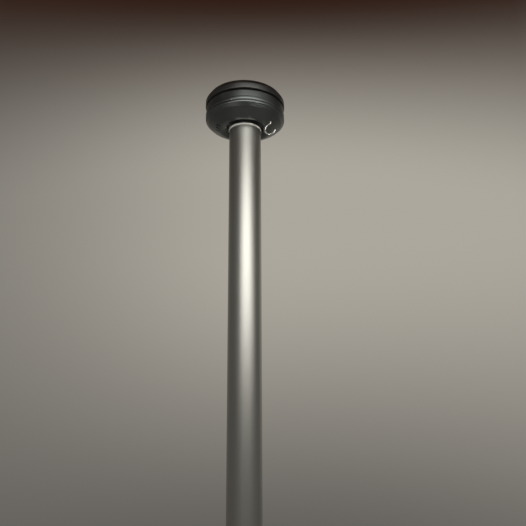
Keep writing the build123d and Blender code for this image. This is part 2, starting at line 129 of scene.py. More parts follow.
# %% A small kit for node trees
def put(socket, value):
    """Give an input its value, or join it to a socket or to a node's first output."""
    if isinstance(value, bpy.types.Node):
        value = value.outputs[0]
    if isinstance(value, bpy.types.NodeSocket):
        socket.id_data.links.new(value, socket)
    elif socket.type == "RGBA":
        socket.default_value = (*value[:3], 1.0)
    else:
        socket.default_value = value


def add_node(tree, kind, inputs, **settings):
    """A new node, with its properties set by name and its inputs by number or name."""
    node = tree.nodes.new(kind)
    for key, value in settings.items():
        setattr(node, key, value)
    for key, value in inputs.items():
        put(node.inputs[key], value)
    return node


def by_label(values):
    """Values under the labels of sockets, so that pit_size finds Pit size."""
    return {name.replace("_", " ").capitalize(): value for name, value in values.items()}


def new_tree(kind, name, inputs, outputs):
    """An empty tree with sockets {label: kind}, what it is given and its results."""
    tree = bpy.data.node_groups.new(name, kind)
    for side, sockets in (("INPUT", inputs), ("OUTPUT", outputs)):
        for label, value_kind in sockets.items():
            tree.interface.new_socket(label, in_out=side, socket_type="NodeSocket" + value_kind)
    given = tree.nodes.new("NodeGroupInput").outputs
    return tree, given, tree.nodes.new("NodeGroupOutput").inputs


def new_effect(name, inputs, outputs):
    """An empty shader group whose inputs and outputs are plain values."""
    return new_tree("ShaderNodeTree", name, dict.fromkeys(inputs, "Float"),
                    dict.fromkeys(outputs, "Float"))


# %% Values and patterns
def calc(tree, operation, *values, clamp=False):
    """A Math node on sockets, nodes or plain numbers."""
    return add_node(tree, "ShaderNodeMath", dict(enumerate(values)), operation=operation,
                    use_clamp=clamp)


def remap(tree, value, start=0.0, end=1.0, low=0.0, high=1.0, passage="LINEAR"):
    """Map start..end to low..high, and hold the ends."""
    return add_node(tree, "ShaderNodeMapRange", {
        "Value": value, "From Min": start, "From Max": end, "To Min": low, "To Max": high,
    }, interpolation_type=passage)


def object_point(tree, stretch=(1.0, 1.0, 1.0)):
    """Object coordinates stretched by a scale, so that a pattern can run one way."""
    place = add_node(tree, "ShaderNodeTexCoord", {})
    return add_node(tree, "ShaderNodeMapping", {"Vector": place.outputs["Object"],
                                                "Scale": stretch})


def noise(tree, scale, detail, roughness=0.5, stretch=(1.0, 1.0, 1.0)):
    """A noise pattern on object coordinates."""
    return add_node(tree, "ShaderNodeTexNoise", {
        "Vector": object_point(tree, stretch), "Scale": scale, "Detail": detail,
        "Roughness": roughness})


# %% [markdown]
# Drawn and extruded tube keeps faint lines along its length even after it is etched
# and anodised. A noise pattern squeezed sideways and stretched along Z draws them. Two
# sizes are mixed: hair-fine lines for the grain, and wide soft ones that make the
# sheen wander a little from side to side.

# %% Lengthwise grain
FINE_LINES = 2600.0           # scale of the noise
WIDE_LINES = 260.0


def build_lengthwise_grain():
    """Streak: wide soft lines. Height: fine lines for the bump."""
    tree, given, out = new_effect("lengthwise_grain", ["Fineness"], ["Streak", "Height"])
    fine_scale = calc(tree, "MULTIPLY", given["Fineness"], FINE_LINES)
    wide_scale = calc(tree, "MULTIPLY", given["Fineness"], WIDE_LINES)
    wide = noise(tree, wide_scale, detail=2.0, stretch=(1.0, 1.0, 0.02))
    fine = noise(tree, fine_scale, detail=3.0, roughness=0.6, stretch=(1.0, 1.0, 0.012))
    put(out["Streak"], wide)
    put(out["Height"], fine)
    return tree


lengthwise_grain = build_lengthwise_grain()
print("group:", lengthwise_grain.name)

# %% [markdown]
# The head is injection moulded, and its mould was spark-eroded to a fine matt grain.
# Up close that is a field of tiny rounded pits. From arm's length it only softens the
# highlight, unevenly, where hands have rubbed it. One group gives both the pits and
# the slow change.

# %% Moulded grain
def build_moulded_grain():
    """Height: fine pits. Rub: slow patches where the surface is smoother."""
    tree, given, out = new_effect("moulded_grain", ["Pit size"], ["Height", "Rub"])
    pits_scale = calc(tree, "DIVIDE", 1.0, given["Pit size"])
    rub = noise(tree, scale=38.0, detail=4.0)
    put(out["Height"], noise(tree, pits_scale, detail=2.0, roughness=0.55))
    put(out["Rub"], remap(tree, rub, start=0.35, end=0.65))
    return tree


moulded_grain = build_moulded_grain()
print("group:", moulded_grain.name)

# %% [markdown]
# Edges are where paint, zinc and plastic wear bright. The Bevel node rounds the normal
# near an edge, so the angle between it and the true normal is large only there. A
# noise breaks that band up, because wear is never an even line.

# %% Edge wear
WEAR_GAIN = 9.0               # how strongly a bent edge shows


def build_edge_wear():
    """Mask: 1 on worn edges, broken up by noise."""
    tree, given, out = new_effect("edge_wear", ["Width", "Amount"], ["Mask"])
    soft = add_node(tree, "ShaderNodeBevel", {"Radius": given["Width"]}, samples=4)
    true = add_node(tree, "ShaderNodeNewGeometry", {})
    dot = add_node(tree, "ShaderNodeVectorMath", {0: soft, 1: true.outputs["Normal"]},
                   operation="DOT_PRODUCT")
    bend = calc(tree, "SUBTRACT", 1.0, dot.outputs["Value"])
    chips = calc(tree, "MULTIPLY", noise(tree, scale=420.0, detail=5.0), WEAR_GAIN)
    broken = calc(tree, "MULTIPLY", bend, chips)
    put(out["Mask"], calc(tree, "MULTIPLY", broken, given["Amount"], clamp=True))
    return tree


edge_wear = build_edge_wear()
print("group:", edge_wear.name)

# %% [markdown]
# Dust settles on what faces up. The normal's Z gives the slope, and a noise makes the
# film patchy. It is kept faint: enough to tell a top face from a side.

# %% Settled dust
def build_settled_dust():
    """Mask: 1 on level tops, fading out towards upright faces."""
    tree, given, out = new_effect("settled_dust", ["Amount"], ["Mask"])
    facing = add_node(tree, "ShaderNodeNewGeometry", {})
    parts = add_node(tree, "ShaderNodeSeparateXYZ", {0: facing.outputs["Normal"]})
    slope = remap(tree, parts.outputs["Z"], start=0.55, end=1.0)
    film = calc(tree, "MULTIPLY", slope, noise(tree, scale=60.0, detail=6.0))
    put(out["Mask"], calc(tree, "MULTIPLY", film, given["Amount"], clamp=True))
    return tree


settled_dust = build_settled_dust()
print("group:", settled_dust.name)

# %% [markdown]
# Shade falls in the gap under the lid, in the notches
# and slots, and in the corners of the foot, and there it is painted in as a darker tone.
# The Ambient Occlusion node measures how closely a point is hemmed in, and that tells how sheltered
# it is.

# %% Painted recess shade
SHADE_LEAST = 0.7             # its thinnest patches
SHADE_SPAN = 0.6              # and how much more the thickest have


def build_painted_recess_shade():
    """Mask of painted shade: 1 deep in grooves and corners, broken up by noise."""
    tree, given, out = new_effect("painted_recess_shade", ["Reach", "Amount"], ["Mask"])
    shelter = add_node(tree, "ShaderNodeAmbientOcclusion", {"Distance": given["Reach"]},
                       samples=8)
    depth = remap(tree, shelter.outputs["AO"], start=0.85, end=0.35, passage="SMOOTHSTEP")
    patches = calc(tree, "MULTIPLY", noise(tree, scale=300.0, detail=4.0), SHADE_SPAN)
    patchy = calc(tree, "ADD", patches, SHADE_LEAST)
    mask = calc(tree, "MULTIPLY", depth, patchy)
    put(out["Mask"], calc(tree, "MULTIPLY", mask, given["Amount"], clamp=True))
    return tree


painted_recess_shade = build_painted_recess_shade()
print("group:", painted_recess_shade.name)

# %% [markdown]
# ## Finishes
#
# Each finish starts from a Principled shader with its constant values, which
# `new_finish` makes. Then come the patterns that are its own, and tones mixed by them.
# At the end `dress` joins to the shader what varies over the surface: its colour, its
# roughness, and a bump from a height.

# %% A base for every finish
def new_finish(name, metallic, roughness, **constants):
    """A material with a Principled shader; returns it with its tree and shader node."""
    material = bpy.data.materials.new(name)
    material.use_nodes = True
    shader = material.node_tree.nodes["Principled BSDF"]
    for label, value in {"Metallic": metallic, "Roughness": roughness, **constants}.items():
        put(shader.inputs[label], value)
    return material, material.node_tree, shader


def place_group(tree, group, **values):
    """One use of a shared effect, with its own values."""
    return add_node(tree, "ShaderNodeGroup", by_label(values), node_tree=group).outputs


def mix_colour(tree, mask, first, second):
    """Blend two colours by a mask."""
    return add_node(tree, "ShaderNodeMix", {"Factor": mask, 6: first, 7: second},
                    data_type="RGBA").outputs[2]


def dress(shader, colour, roughness, height, strength, distance):
    """Set what varies over a surface: colour, roughness, and a bump from a height."""
    bump = add_node(shader.id_data, "ShaderNodeBump",
                    {"Strength": strength, "Distance": distance, "Height": height})
    for label, value in {"Base Color": colour, "Roughness": roughness, "Normal": bump}.items():
        put(shader.inputs[label], value)


# %% [markdown]
# **Satin anodised aluminium.** A metal with a broad, soft highlight. The streaks
# change its roughness and its tone by a few hundredths only; more would look brushed.

# %% Satin anodised aluminium
def finish_anodised_aluminium():
    """The pole's tubes."""
    material, tree, shader = new_finish("anodised_aluminium", metallic=1.0, roughness=0.38)
    grain = place_group(tree, lengthwise_grain, fineness=1.0)
    tone = mix_colour(tree, grain["Streak"], (0.50, 0.50, 0.47), (0.56, 0.56, 0.53))
    rough = remap(tree, grain["Streak"], low=0.36, high=0.41)
    dress(shader, tone, rough, grain["Height"], strength=0.10, distance=0.02 * MM)
    return material


anodised_aluminium = finish_anodised_aluminium()
print("finish:", anodised_aluminium.name)

# %% [markdown]
# **Turned aluminium.** The plug's rim is machined and then blasted, so it scatters light
# widely and stays bright even at its sides, where the tube goes dark. Lathe marks are
# rings round the axis, so the bump comes from noise that hardly changes sideways.

# %% Turned aluminium
def finish_turned_aluminium():
    """The pale rim of the top plug."""
    material, tree, shader = new_finish("turned_aluminium", metallic=1.0, roughness=0.75)
    rings = noise(tree, scale=900.0, detail=4.0, stretch=(0.02, 0.02, 6.0))
    tone = mix_colour(tree, rings, (0.90, 0.90, 0.87), (0.96, 0.96, 0.93))
    rough = remap(tree, rings, low=0.85, high=0.95)
    dress(shader, tone, rough, rings, strength=0.15, distance=0.03 * MM)
    return material


turned_aluminium = finish_turned_aluminium()
print("finish:", turned_aluminium.name)

# %% [markdown]
# ** Moulded plastic.** Dark grey, slightly blue on the collar and slightly warm on the
# lid, which come from different mould runs. Grain in the bump, rubbed patches in the
# roughness, a little scuffing on the edges, dust on top, and painted shade in the
# recesses, which are also made rougher.

# %% Moulded plastic
SCUFF_TONE = (0.13, 0.135, 0.135)
DUST_TONE = (0.20, 0.19, 0.17)
# the near-black tone of the painted shade in recesses
RECESS_SHADE_TONE = (0.005, 0.005, 0.0045)
RUB_SPAN = 0.05               # how much smoother or rougher a rubbed surface gets
RECESS_ROUGHNESS = 0.5         # how much rougher the recesses get, where shade is painted


def finish_moulded_plastic(name, dark, light, roughness, **constants):
    """A moulded plastic between two tones."""
    material, tree, shader = new_finish(name, metallic=0.0, roughness=roughness, **constants)
    grain = place_group(tree, moulded_grain, pit_size=0.6 * MM)
    wear = place_group(tree, edge_wear, width=0.8 * MM, amount=0.35)
    dust = place_group(tree, settled_dust, amount=0.35)
    # painted shade: darker where a point is sheltered in a recess
    recess_shade = place_group(tree, painted_recess_shade, reach=4 * MM, amount=1.0)
    tone = mix_colour(tree, grain["Rub"], dark, light)
    for effect, layer in ((wear, SCUFF_TONE), (dust, DUST_TONE), (recess_shade, RECESS_SHADE_TONE)):
        tone = mix_colour(tree, effect["Mask"], tone, layer)
    rubbed = remap(tree, grain["Rub"], low=roughness - RUB_SPAN, high=roughness + RUB_SPAN)
    dulled = calc(tree, "MULTIPLY", recess_shade["Mask"], RECESS_ROUGHNESS)
    rough = calc(tree, "ADD", rubbed, dulled)
    dress(shader, tone, rough, grain["Height"], strength=0.25, distance=0.06 * MM)
    return material


COLLAR_SHEEN = {"IOR": 1.8, "Specular IOR Level": 0.9, "Specular Tint": (0.92, 1.0, 1.0)}
LID_SHEEN = {"IOR": 1.8, "Specular IOR Level": 0.55}
collar_plastic = finish_moulded_plastic(
    "collar_plastic", dark=(0.007, 0.008, 0.0085), light=(0.010, 0.0115, 0.012),
    roughness=0.36, **COLLAR_SHEEN)
lid_plastic = finish_moulded_plastic(
    "lid_plastic", dark=(0.007, 0.007, 0.007), light=(0.010, 0.010, 0.0095),
    roughness=0.40, **LID_SHEEN)
grey_plastic = finish_moulded_plastic(
    "grey_plastic", dark=(0.045, 0.048, 0.050), light=(0.060, 0.063, 0.066), roughness=0.50)
bearing_plastic = finish_moulded_plastic(
    "bearing_plastic", dark=(0.62, 0.60, 0.55), light=(0.70, 0.68, 0.63), roughness=0.40)
print("finishes:", collar_plastic.name, lid_plastic.name, grey_plastic.name, bearing_plastic.name)

# %% [markdown]
# **Stainless steel.** The hook's wire is drawn and polished; the screws are plainer.
# Both are the same metal at two roughnesses, with fine scratches as noise.

# %% Stainless steel
SCRATCH_SHADE = 0.86          # of the tone, in a scratch


def finish_stainless(name, tone, roughness):
    """Bright or plain stainless steel."""
    material, tree, shader = new_finish(name, metallic=1.0, roughness=roughness)
    scratches = noise(tree, scale=1500.0, detail=6.0, stretch=(1.0, 0.25, 0.6))
    darker = tuple(channel * SCRATCH_SHADE for channel in tone)
    colour = mix_colour(tree, scratches, darker, tone)
    rough = remap(tree, scratches, low=roughness - 0.05, high=roughness + 0.07)
    dress(shader, colour, rough, scratches, strength=0.12, distance=0.02 * MM)
    return material


stainless_wire = finish_stainless("stainless_wire", tone=(0.74, 0.73, 0.70), roughness=0.25)
stainless_screw = finish_stainless("stainless_screw", tone=(0.60, 0.60, 0.58), roughness=0.34)
print("finishes:", stainless_wire.name, stainless_screw.name)

# %% [markdown]
# ** Hot-dip galvanised steel.** Zinc freezes in crystals, each catching the light its
# own way. A Voronoi pattern gives every crystal a random value, which moves both tone
# and roughness; a slow noise dulls patches, edges are rubbed brighter, and painted
# shade darkens the corners where the parts meet.

# %% Galvanised steel
DARK_CRYSTAL = (0.36, 0.37, 0.385)
LIGHT_CRYSTAL = (0.56, 0.575, 0.59)
DULL_ZINC = (0.42, 0.425, 0.43)
RUBBED_ZINC = (0.70, 0.71, 0.72)
# the tone of the painted shade in the foot's corners
FOOT_RECESS_SHADE = (0.12, 0.11, 0.10)


def finish_galvanised_steel():
    """The foot's plate, sleeve and gussets."""
    material, tree, shader = new_finish("galvanised_steel", metallic=1.0, roughness=0.45)
    crystals = add_node(tree, "ShaderNodeTexVoronoi", {
        "Vector": object_point(tree, (1.0, 1.0, 0.8)), "Scale": 115.0, "Randomness": 1.0})
    value = add_node(tree, "ShaderNodeSeparateColor", {0: crystals.outputs["Color"]}).outputs
    dull = noise(tree, scale=16.0, detail=8.0)
    wear = place_group(tree, edge_wear, width=1.5 * MM, amount=0.6)
    # painted shade where the foot's parts meet
    recess_shade = place_group(tree, painted_recess_shade, reach=12 * MM, amount=0.6)
    tone = mix_colour(tree, value[0], DARK_CRYSTAL, LIGHT_CRYSTAL)
    for mask, layer in ((remap(tree, dull, high=0.7), DULL_ZINC), (wear["Mask"], RUBBED_ZINC),
                        (recess_shade["Mask"], FOOT_RECESS_SHADE)):
        tone = mix_colour(tree, mask, tone, layer)
    rough = remap(tree, value[1], low=0.36, high=0.60)
    dress(shader, tone, rough, dull, strength=0.25, distance=0.6 * MM)
    return material


galvanised_steel = finish_galvanised_steel()
print("finish:", galvanised_steel.name)

# %% [markdown]
# ## Making round pieces
#
# Nearly everything on a pole is turned or moulded round one axis, so one helper makes
# it all: `lathe` sweeps a closed outline round Z. An outline starts as a list of corners,
# each with the radius of its fillet, because a real edge is never knife-sharp and that
# small round is what catches the light. With enough steps round the axis even the
# silhouette is smooth, which the lighter CAD mesh's isn't.

# %% Outlines with rounded corners
FILLET_STEPS = 6
SWEEP_STEPS = 16              # in a bulge or a long arc
FULLNESS = 0.4                # 1 swells like an ellipse, less gives a fuller face
LEAN = 0.2                    # how much of the swelling is gone at its lower edge


def fillet_points(corner, before, after, fillet):
    """Points of the round that replaces one corner of an outline."""
    here = Vector(corner)
    back, forth = Vector(before) - here, Vector(after) - here
    half = back.angle(forth) / 2
    cut = min(fillet / tan(half), back.length / 2, forth.length / 2)
    middle = (back.normalized() + forth.normalized()).normalized()
    centre = here + middle * cut / cos(half)
    first = here + back.normalized() * cut - centre
    last = here + forth.normalized() * cut - centre
    sweep = -first.angle_signed(last)
    return [centre + Matrix.Rotation(sweep * step / FILLET_STEPS, 2) @ first
            for step in range(FILLET_STEPS + 1)]


def rounded(corners):
    """Points of a closed outline from (radius, level, fillet) corners."""
    points = []
    for index, (r, z, fillet) in enumerate(corners):
        if fillet:
            before, after = corners[index - 1][:2], corners[(index + 1) % len(corners)][:2]
            points += fillet_points((r, z), before, after, fillet)
        else:
            points.append(Vector((r, z)))
    return points


def arc_corners(centre, radius, start_angle, end_angle):
    """Corners along an arc; angles in degrees, from straight out."""
    turn_by = (end_angle - start_angle) / SWEEP_STEPS
    angles = [radians(start_angle + turn_by * step) for step in range(SWEEP_STEPS + 1)]
    return [(centre[0] + radius * cos(a), centre[1] + radius * sin(a), 0) for a in angles]


def bulge(top, bottom, inner, rise):
    """Corners of a crowned swelling from an upright side, going down."""
    middle, half = (top + bottom) / 2, (top - bottom) / 2
    angles = [pi * step / SWEEP_STEPS for step in range(SWEEP_STEPS + 1)]
    return [(inner + rise * abs(sin(a)) ** FULLNESS * (1 - LEAN * (1 - cos(a)) / 2),
             middle + half * cos(a), 0) for a in angles]


def inset(corner, outer_angle, inner_angle, wall, up=1):
    """Corner of a hollow one wall inside a corner of the skin; angles from level."""
    middle = radians((outer_angle + inner_angle) / 2)
    slant = wall / cos(radians((outer_angle - inner_angle) / 2))
    return corner[0] - slant * sin(middle), corner[1] + up * slant * cos(middle)


# %% [markdown]
# A swept skin is always the same job: rings of equally many points, bridged one to the
# next. Round pieces bridge outlines turned round the axis, and close on themselves.
# Bars, wires and blades bridge rings along their length, and get a cap at each end.

# %% Skins and the lathe
ROUND_STEPS = 256
SHARP_ANGLE = radians(32)


def around(steps):
    """Angles of even steps all the way round."""
    return [2 * pi * step / steps for step in range(steps)]


def directions(bearing):
    """Level unit vectors along a bearing and across it."""
    return Vector((cos(bearing), sin(bearing), 0)), Vector((-sin(bearing), cos(bearing), 0))


def skin(bm, rings, ends="capped"):
    """Bridge rings of points. The ends are capped, joined to each other or left open."""
    rows = [[bm.verts.new(point) for point in ring] for ring in rings]
    count = len(rows[0])
    pairs = list(zip(rows, rows[1:]))
    if ends == "joined":
        pairs.append((rows[-1], rows[0]))
    if ends == "capped":
        bm.faces.new(rows[0])
        bm.faces.new(rows[-1])
    for row, following in pairs:
        for index in range(count):
            further = (index + 1) % count
            bm.faces.new((row[index], following[index], following[further], row[further]))


def blade(bm, outline, thickness, bearing):
    """An upright flat piece: an outline of (radius, level) points, standing at a bearing."""
    out, across = directions(bearing)
    side = across * thickness / 2
    middle = [out * r + Vector((0, 0, z)) for r, z in outline]
    skin(bm, [[p + side for p in middle], [p - side for p in middle]])


def shade(mesh):
    """Smooth shading, with real edges kept sharp."""
    mesh.shade_smooth()
    mesh.set_sharp_from_angle(angle=SHARP_ANGLE)


def finished(name, bm, material):
    """Turn a bmesh into an object at the origin, in one material."""
    bmesh.ops.recalc_face_normals(bm, faces=bm.faces)
    mesh = bpy.data.meshes.new(name)
    bm.to_mesh(mesh)
    bm.free()
    shade(mesh)
    mesh.materials.append(material)
    piece = bpy.data.objects.new(name, mesh)
    scene.collection.objects.link(piece)
    return piece


def skinned(name, rings, material, ends="capped"):
    """A whole piece made of one skin."""
    bm = bmesh.new()
    skin(bm, rings, ends)
    return finished(name, bm, material)


def lathe(name, outline, material):
    """A whole piece made by sweeping a closed outline of (radius, level) points round Z."""
    rings = [[(r * cos(a), r * sin(a), z) for r, z in outline] for a in around(ROUND_STEPS)]
    return skinned(name, rings, material, ends="joined")


def place(piece, body, *nodes):
    """A finished piece rides on its body and stands for its CAD nodes."""
    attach(piece, body)
    if nodes:
        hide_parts(*nodes)


# %% [markdown]
# ## The tubes
#
# A tube is its outline swept round: outer wall, inner wall and two square ends whose
# edges are broken by a third of a millimetre, as a cut tube's are after deburring. The
# plastic ring between the two lengths is the same shape, only short.

# %% Tubes and the ring between them
cut_edge = 0.35 * MM
tube_bore = tube_radius - tube_wall


def pipe(name, node, inner, fillet, material):
    """A pipe as long and as wide as a CAD node."""
    bottom, top = levels(node)
    outer = reach(node)
    outline = rounded([(outer, bottom, fillet), (outer, top, fillet),
                       (inner, top, fillet / 2), (inner, bottom, fillet / 2)])
    place(lathe(name, outline, material), "mast", node)


pipe("lower_pole_tube", "lower_tube", tube_bore, cut_edge, anodised_aluminium)
pipe("upper_pole_tube", "upper_tube", tube_bore, cut_edge, anodised_aluminium)
pipe("tube_joint_ring", "joint_ring", tube_bore, 0.6 * MM, grey_plastic)

# %% [markdown]
# The plug is pressed into the tube's end, and only its flange shows: a bright ring a
# millimetre wider than the tube, with both its edges rounded. It is the thin pale line
# just under the head.

# %% Top plug
slide_fit = 0.15 * MM         # what a piece slid into another is smaller on the radius
plug_overhang = 1.0 * MM
plug_radius = tube_radius + plug_overhang
plug_body_radius = tube_bore - slide_fit
plug_bottom = levels("top_plug")[0]
stud_hole_radius = 6.1 * MM

plug_outline = rounded([
    (plug_radius, tube_top, 0.8 * MM),
    (plug_radius, flange_top, 1.6 * MM),
    (stud_hole_radius, flange_top, 0),
    (stud_hole_radius, plug_bottom, 0),
    (plug_body_radius, plug_bottom, 0.5 * MM),
    (plug_body_radius, tube_top, 0),
])
place(lathe("bright_plug", plug_outline, turned_aluminium), "mast", "top_plug")

# %% [markdown]
# ## The collar
#
# The collar is a moulded bowl. Below a chamfered top edge its side drops straight,
# swells into a bead, pinches into a groove, and turns under at a lip. Below the lip a
# steep shoulder and a long flank lead in to a rounded foot, and from there a shallow
# dish rises to the neck round the tube. The bead and lip are fully rounded, as the
# mould's cutter leaves them, and every knuckle gets a soft fillet.

# %% Collar sizes
bead_rise = 1.0 * MM
collar_radius = reach("head_collar") - bead_rise
collar_wall = 5.0 * MM
bead_top = collar_top - 12.6 * MM
bead_bottom = bead_top - 6.0 * MM
lip_top = bead_bottom - 1.0 * MM
lip_bottom = lip_top - 4.2 * MM
groove_depth = 0.6 * MM
neck_radius = plug_radius + 3.5 * MM
hub_radius = 17.0 * MM
hub_top = gap_level + 3.0 * MM
hub_bore = 8.05 * MM
axial_play = 0.2 * MM
hub_bottom = levels("lower_washer")[1] + axial_play

SHOULDER_ANGLE = 45.0
FLANK_ANGLE = 28.0
DISH_ANGLE = 26.0
crest_fillet = 14.0 * MM
shoulder_radius = collar_radius - 4.9 * MM
shoulder_level = lip_bottom - (collar_radius - shoulder_radius) * tan(radians(SHOULDER_ANGLE))
dish_radius = neck_radius + 5.1 * MM
crest_radius = dish_radius + crest_fillet * sin(radians(DISH_ANGLE))
turn_radius = crest_radius + crest_fillet * sin(radians(FLANK_ANGLE))
turn_level = shoulder_level - (shoulder_radius - turn_radius) * tan(radians(FLANK_ANGLE))
crest_centre = turn_level + crest_fillet * cos(radians(FLANK_ANGLE))
crest_level = crest_centre - crest_fillet
dish_level = crest_centre - crest_fillet * cos(radians(DISH_ANGLE))
neck_level = dish_level + (dish_radius - neck_radius) * tan(radians(DISH_ANGLE))
web_bottom = neck_level + collar_wall
print(f"collar radius {collar_radius:.4f}, crest {crest_level:.4f}, neck {neck_level:.4f}")


# %% Collar outline
def collar_hollow(wall, roof):
    """Corners of the hollow inside the bowl, from the hub out to the rim."""
    foot_radius = turn_radius - (turn_level - crest_level) / tan(radians(FLANK_ANGLE))
    foot = inset((foot_radius, crest_level), FLANK_ANGLE, 0, wall)
    knuckle = inset((shoulder_radius, shoulder_level), SHOULDER_ANGLE, FLANK_ANGLE, wall)
    rim = inset((collar_radius, lip_bottom), 90, SHOULDER_ANGLE, wall)
    hub = hub_radius - (collar_wall - wall)
    return [(hub, roof, 0), (hub, web_bottom + wall, 0),
            (neck_radius + wall, web_bottom + wall, 0), (neck_radius + wall, crest_level + wall, 0),
            (*foot, 0), (*knuckle, 0), (*rim, 0), (rim[0], roof, 0)]


collar_hub = [(hub_bore, hub_top, 0), (hub_radius, hub_top, 0.5 * MM)]
collar_chamfer = 1.5 * MM
collar_side = [(collar_radius - collar_chamfer, collar_top, 0.3 * MM),
               (collar_radius, collar_top - collar_chamfer, 0.8 * MM),
               (collar_radius, bead_top + 1.0 * MM, 0)]
collar_bead = bulge(bead_top, bead_bottom, collar_radius, bead_rise)
collar_groove = [(collar_radius - groove_depth, bead_bottom, 0)]
collar_lip = bulge(lip_top, lip_bottom, collar_radius - groove_depth, bead_rise + groove_depth)
collar_shoulder = [(shoulder_radius, shoulder_level, 5.0 * MM)]
collar_foot = arc_corners((crest_radius, crest_centre), crest_fillet,
                          FLANK_ANGLE - 90, -90 - DISH_ANGLE)
collar_neck = [(neck_radius, neck_level, 0.8 * MM), (neck_radius, web_bottom, 0),
               (hub_radius, web_bottom, 0), (hub_radius, hub_bottom, 0), (hub_bore, hub_bottom, 0)]
collar_outline = rounded(collar_hub + collar_hollow(collar_wall, collar_top) + collar_side
                         + collar_bead + collar_groove + collar_lip + collar_shoulder
                         + collar_foot + collar_neck)
print("collar outline points:", len(collar_outline))

# %% [markdown]
# What repeats the most, the pockets in the collar and the ripples of the welds, is made
# by Geometry Nodes. The trees are built from the same kit as the finishes. Each is given
# a mesh, its own named sizes and a finish, and ends by making its copies real, because
# copies that only refer to one another are lost when the model is exported. The result
# is taken off the modifier as a plain mesh.

# %% Trees that shape a mesh
def new_shaper(name, sizes):
    """An empty geometry tree that is given a mesh, sizes {label: kind} and a finish."""
    given = {"Geometry": "Geometry", **sizes, "Finish": "Material"}
    return new_tree("GeometryNodeTree", name, given, {"Geometry": "Geometry"})


def hand_out(tree, given, out, shape):
    """Realize a shape's instances, give it the finish and end the tree."""
    solid = add_node(tree, "GeometryNodeRealizeInstances", {0: shape})
    put(out["Geometry"], add_node(tree, "GeometryNodeSetMaterial", {
        "Geometry": solid, "Material": given["Finish"]}))


def run_tree(piece, tree, material, **values):
    """Run a tree on a piece with named inputs, and keep the result as its mesh."""
    labelled = by_label({**values, "finish": material})
    modifier = piece.modifiers.new(tree.name, "NODES")
    modifier.node_group = tree
    for socket in tree.interface.items_tree:
        if socket.in_out == "INPUT" and socket.name in labelled:
            modifier[socket.identifier] = labelled[socket.name]
    depsgraph = bpy.context.evaluated_depsgraph_get()
    mesh = bpy.data.meshes.new_from_object(piece.evaluated_get(depsgraph), depsgraph=depsgraph)
    piece.modifiers.remove(modifier)
    piece.data = mesh
    shade(mesh)
    print(f"{piece.name}: {tree.name} -> {len(mesh.polygons)} faces")


# %% [markdown]
# Into the underside go three kinds of pocket: a ring of small notches that grip round
# the neck, three short slots on one side, and the hole that the hook's shank goes up
# into. They are all one shape, a block with rounded corners set on a circle, so one
# Geometry Nodes tree cuts each kind with its own count, spacing and size.

# %% Pockets on a circle
POCKET_SIZES = ("Pitch", "Bearing", "Radius", "Length", "Width", "Corner", "Roof", "Depth")
CORNER_POINTS = 6


def build_pockets():
    """Cut Count pockets, Pitch apart from Bearing on, Radius out and Length along it."""
    tree, given, out = new_shaper("pockets_on_a_circle",
                                  {"Count": "Int", **dict.fromkeys(POCKET_SIZES, "Float")})
    order = add_node(tree, "GeometryNodeInputIndex", {})
    angle = calc(tree, "ADD", calc(tree, "MULTIPLY", order, given["Pitch"]), given["Bearing"])
    spot = add_node(tree, "ShaderNodeCombineXYZ", {
        "X": calc(tree, "MULTIPLY", calc(tree, "COSINE", angle), given["Radius"]),
        "Y": calc(tree, "MULTIPLY", calc(tree, "SINE", angle), given["Radius"]),
        "Z": given["Roof"]})
    facing = add_node(tree, "ShaderNodeCombineXYZ", {"Z": angle})

    section = add_node(tree, "GeometryNodeCurvePrimitiveQuadrilateral", {
        "Width": given["Length"], "Height": given["Width"]})
    softened = add_node(tree, "GeometryNodeFilletCurve", {
        "Curve": section, "Count": CORNER_POINTS, "Radius": given["Corner"],
        "Limit Radius": True}, mode="POLY")
    bottom = add_node(tree, "ShaderNodeCombineXYZ", {
        "Z": calc(tree, "MULTIPLY", given["Depth"], -1.0)})
    drop = add_node(tree, "GeometryNodeCurvePrimitiveLine", {"End": bottom})
    block = add_node(tree, "GeometryNodeCurveToMesh", {
        "Curve": drop, "Profile Curve": softened, "Fill Caps": True})

    points = add_node(tree, "GeometryNodePoints", {"Count": given["Count"]})
    spots = add_node(tree, "GeometryNodeSetPosition", {"Geometry": points, "Position": spot})
    copies = add_node(tree, "GeometryNodeInstanceOnPoints", {
        "Points": spots, "Instance": block, "Rotation": facing})
    blocks = add_node(tree, "GeometryNodeRealizeInstances", {0: copies})
    cut = add_node(tree, "GeometryNodeMeshBoolean", {
        "Mesh 1": given["Geometry"], "Mesh 2": blocks}, operation="DIFFERENCE", solver="MANIFOLD")
    hand_out(tree, given, out, cut)
    return tree


pockets = build_pockets()
print("tree:", pockets.name)

# %% Notches, slots and the hook's hole
NOTCH_COUNT = 26
NOTCH_PITCH = 2 * pi / NOTCH_COUNT
notch_length = 3.6 * MM
notch_width = 2.2 * MM
notch_corner = 0.5 * MM
notch_radius = neck_radius + 0.8 * MM + notch_length / 2
notch_roof = neck_level + 0.6 * MM
SLOT_COUNT = 3
SLOT_PITCH = radians(10.0)
SLOT_BEARING = radians(188.5)
slot_length = 7.5 * MM
slot_width = 4.4 * MM
slot_radius = crest_radius + 6.3 * MM
wire_radius = 1.5 * MM
hole_radius = wire_radius + 0.1 * MM
HOOK_BEARING = radians(-28.5)
hook_radius = crest_radius + 8.9 * MM
shank_depth = 12.0 * MM


def flank_level(radius):
    """Level of the bowl's skin on its long flank."""
    return turn_level + (radius - turn_radius) * tan(radians(FLANK_ANGLE))


slot_roof = flank_level(slot_radius + slot_length / 2) + 2.2 * MM
hook_level = flank_level(hook_radius)
below_crest = crest_level - 1.0 * MM     # pockets are cut from here up

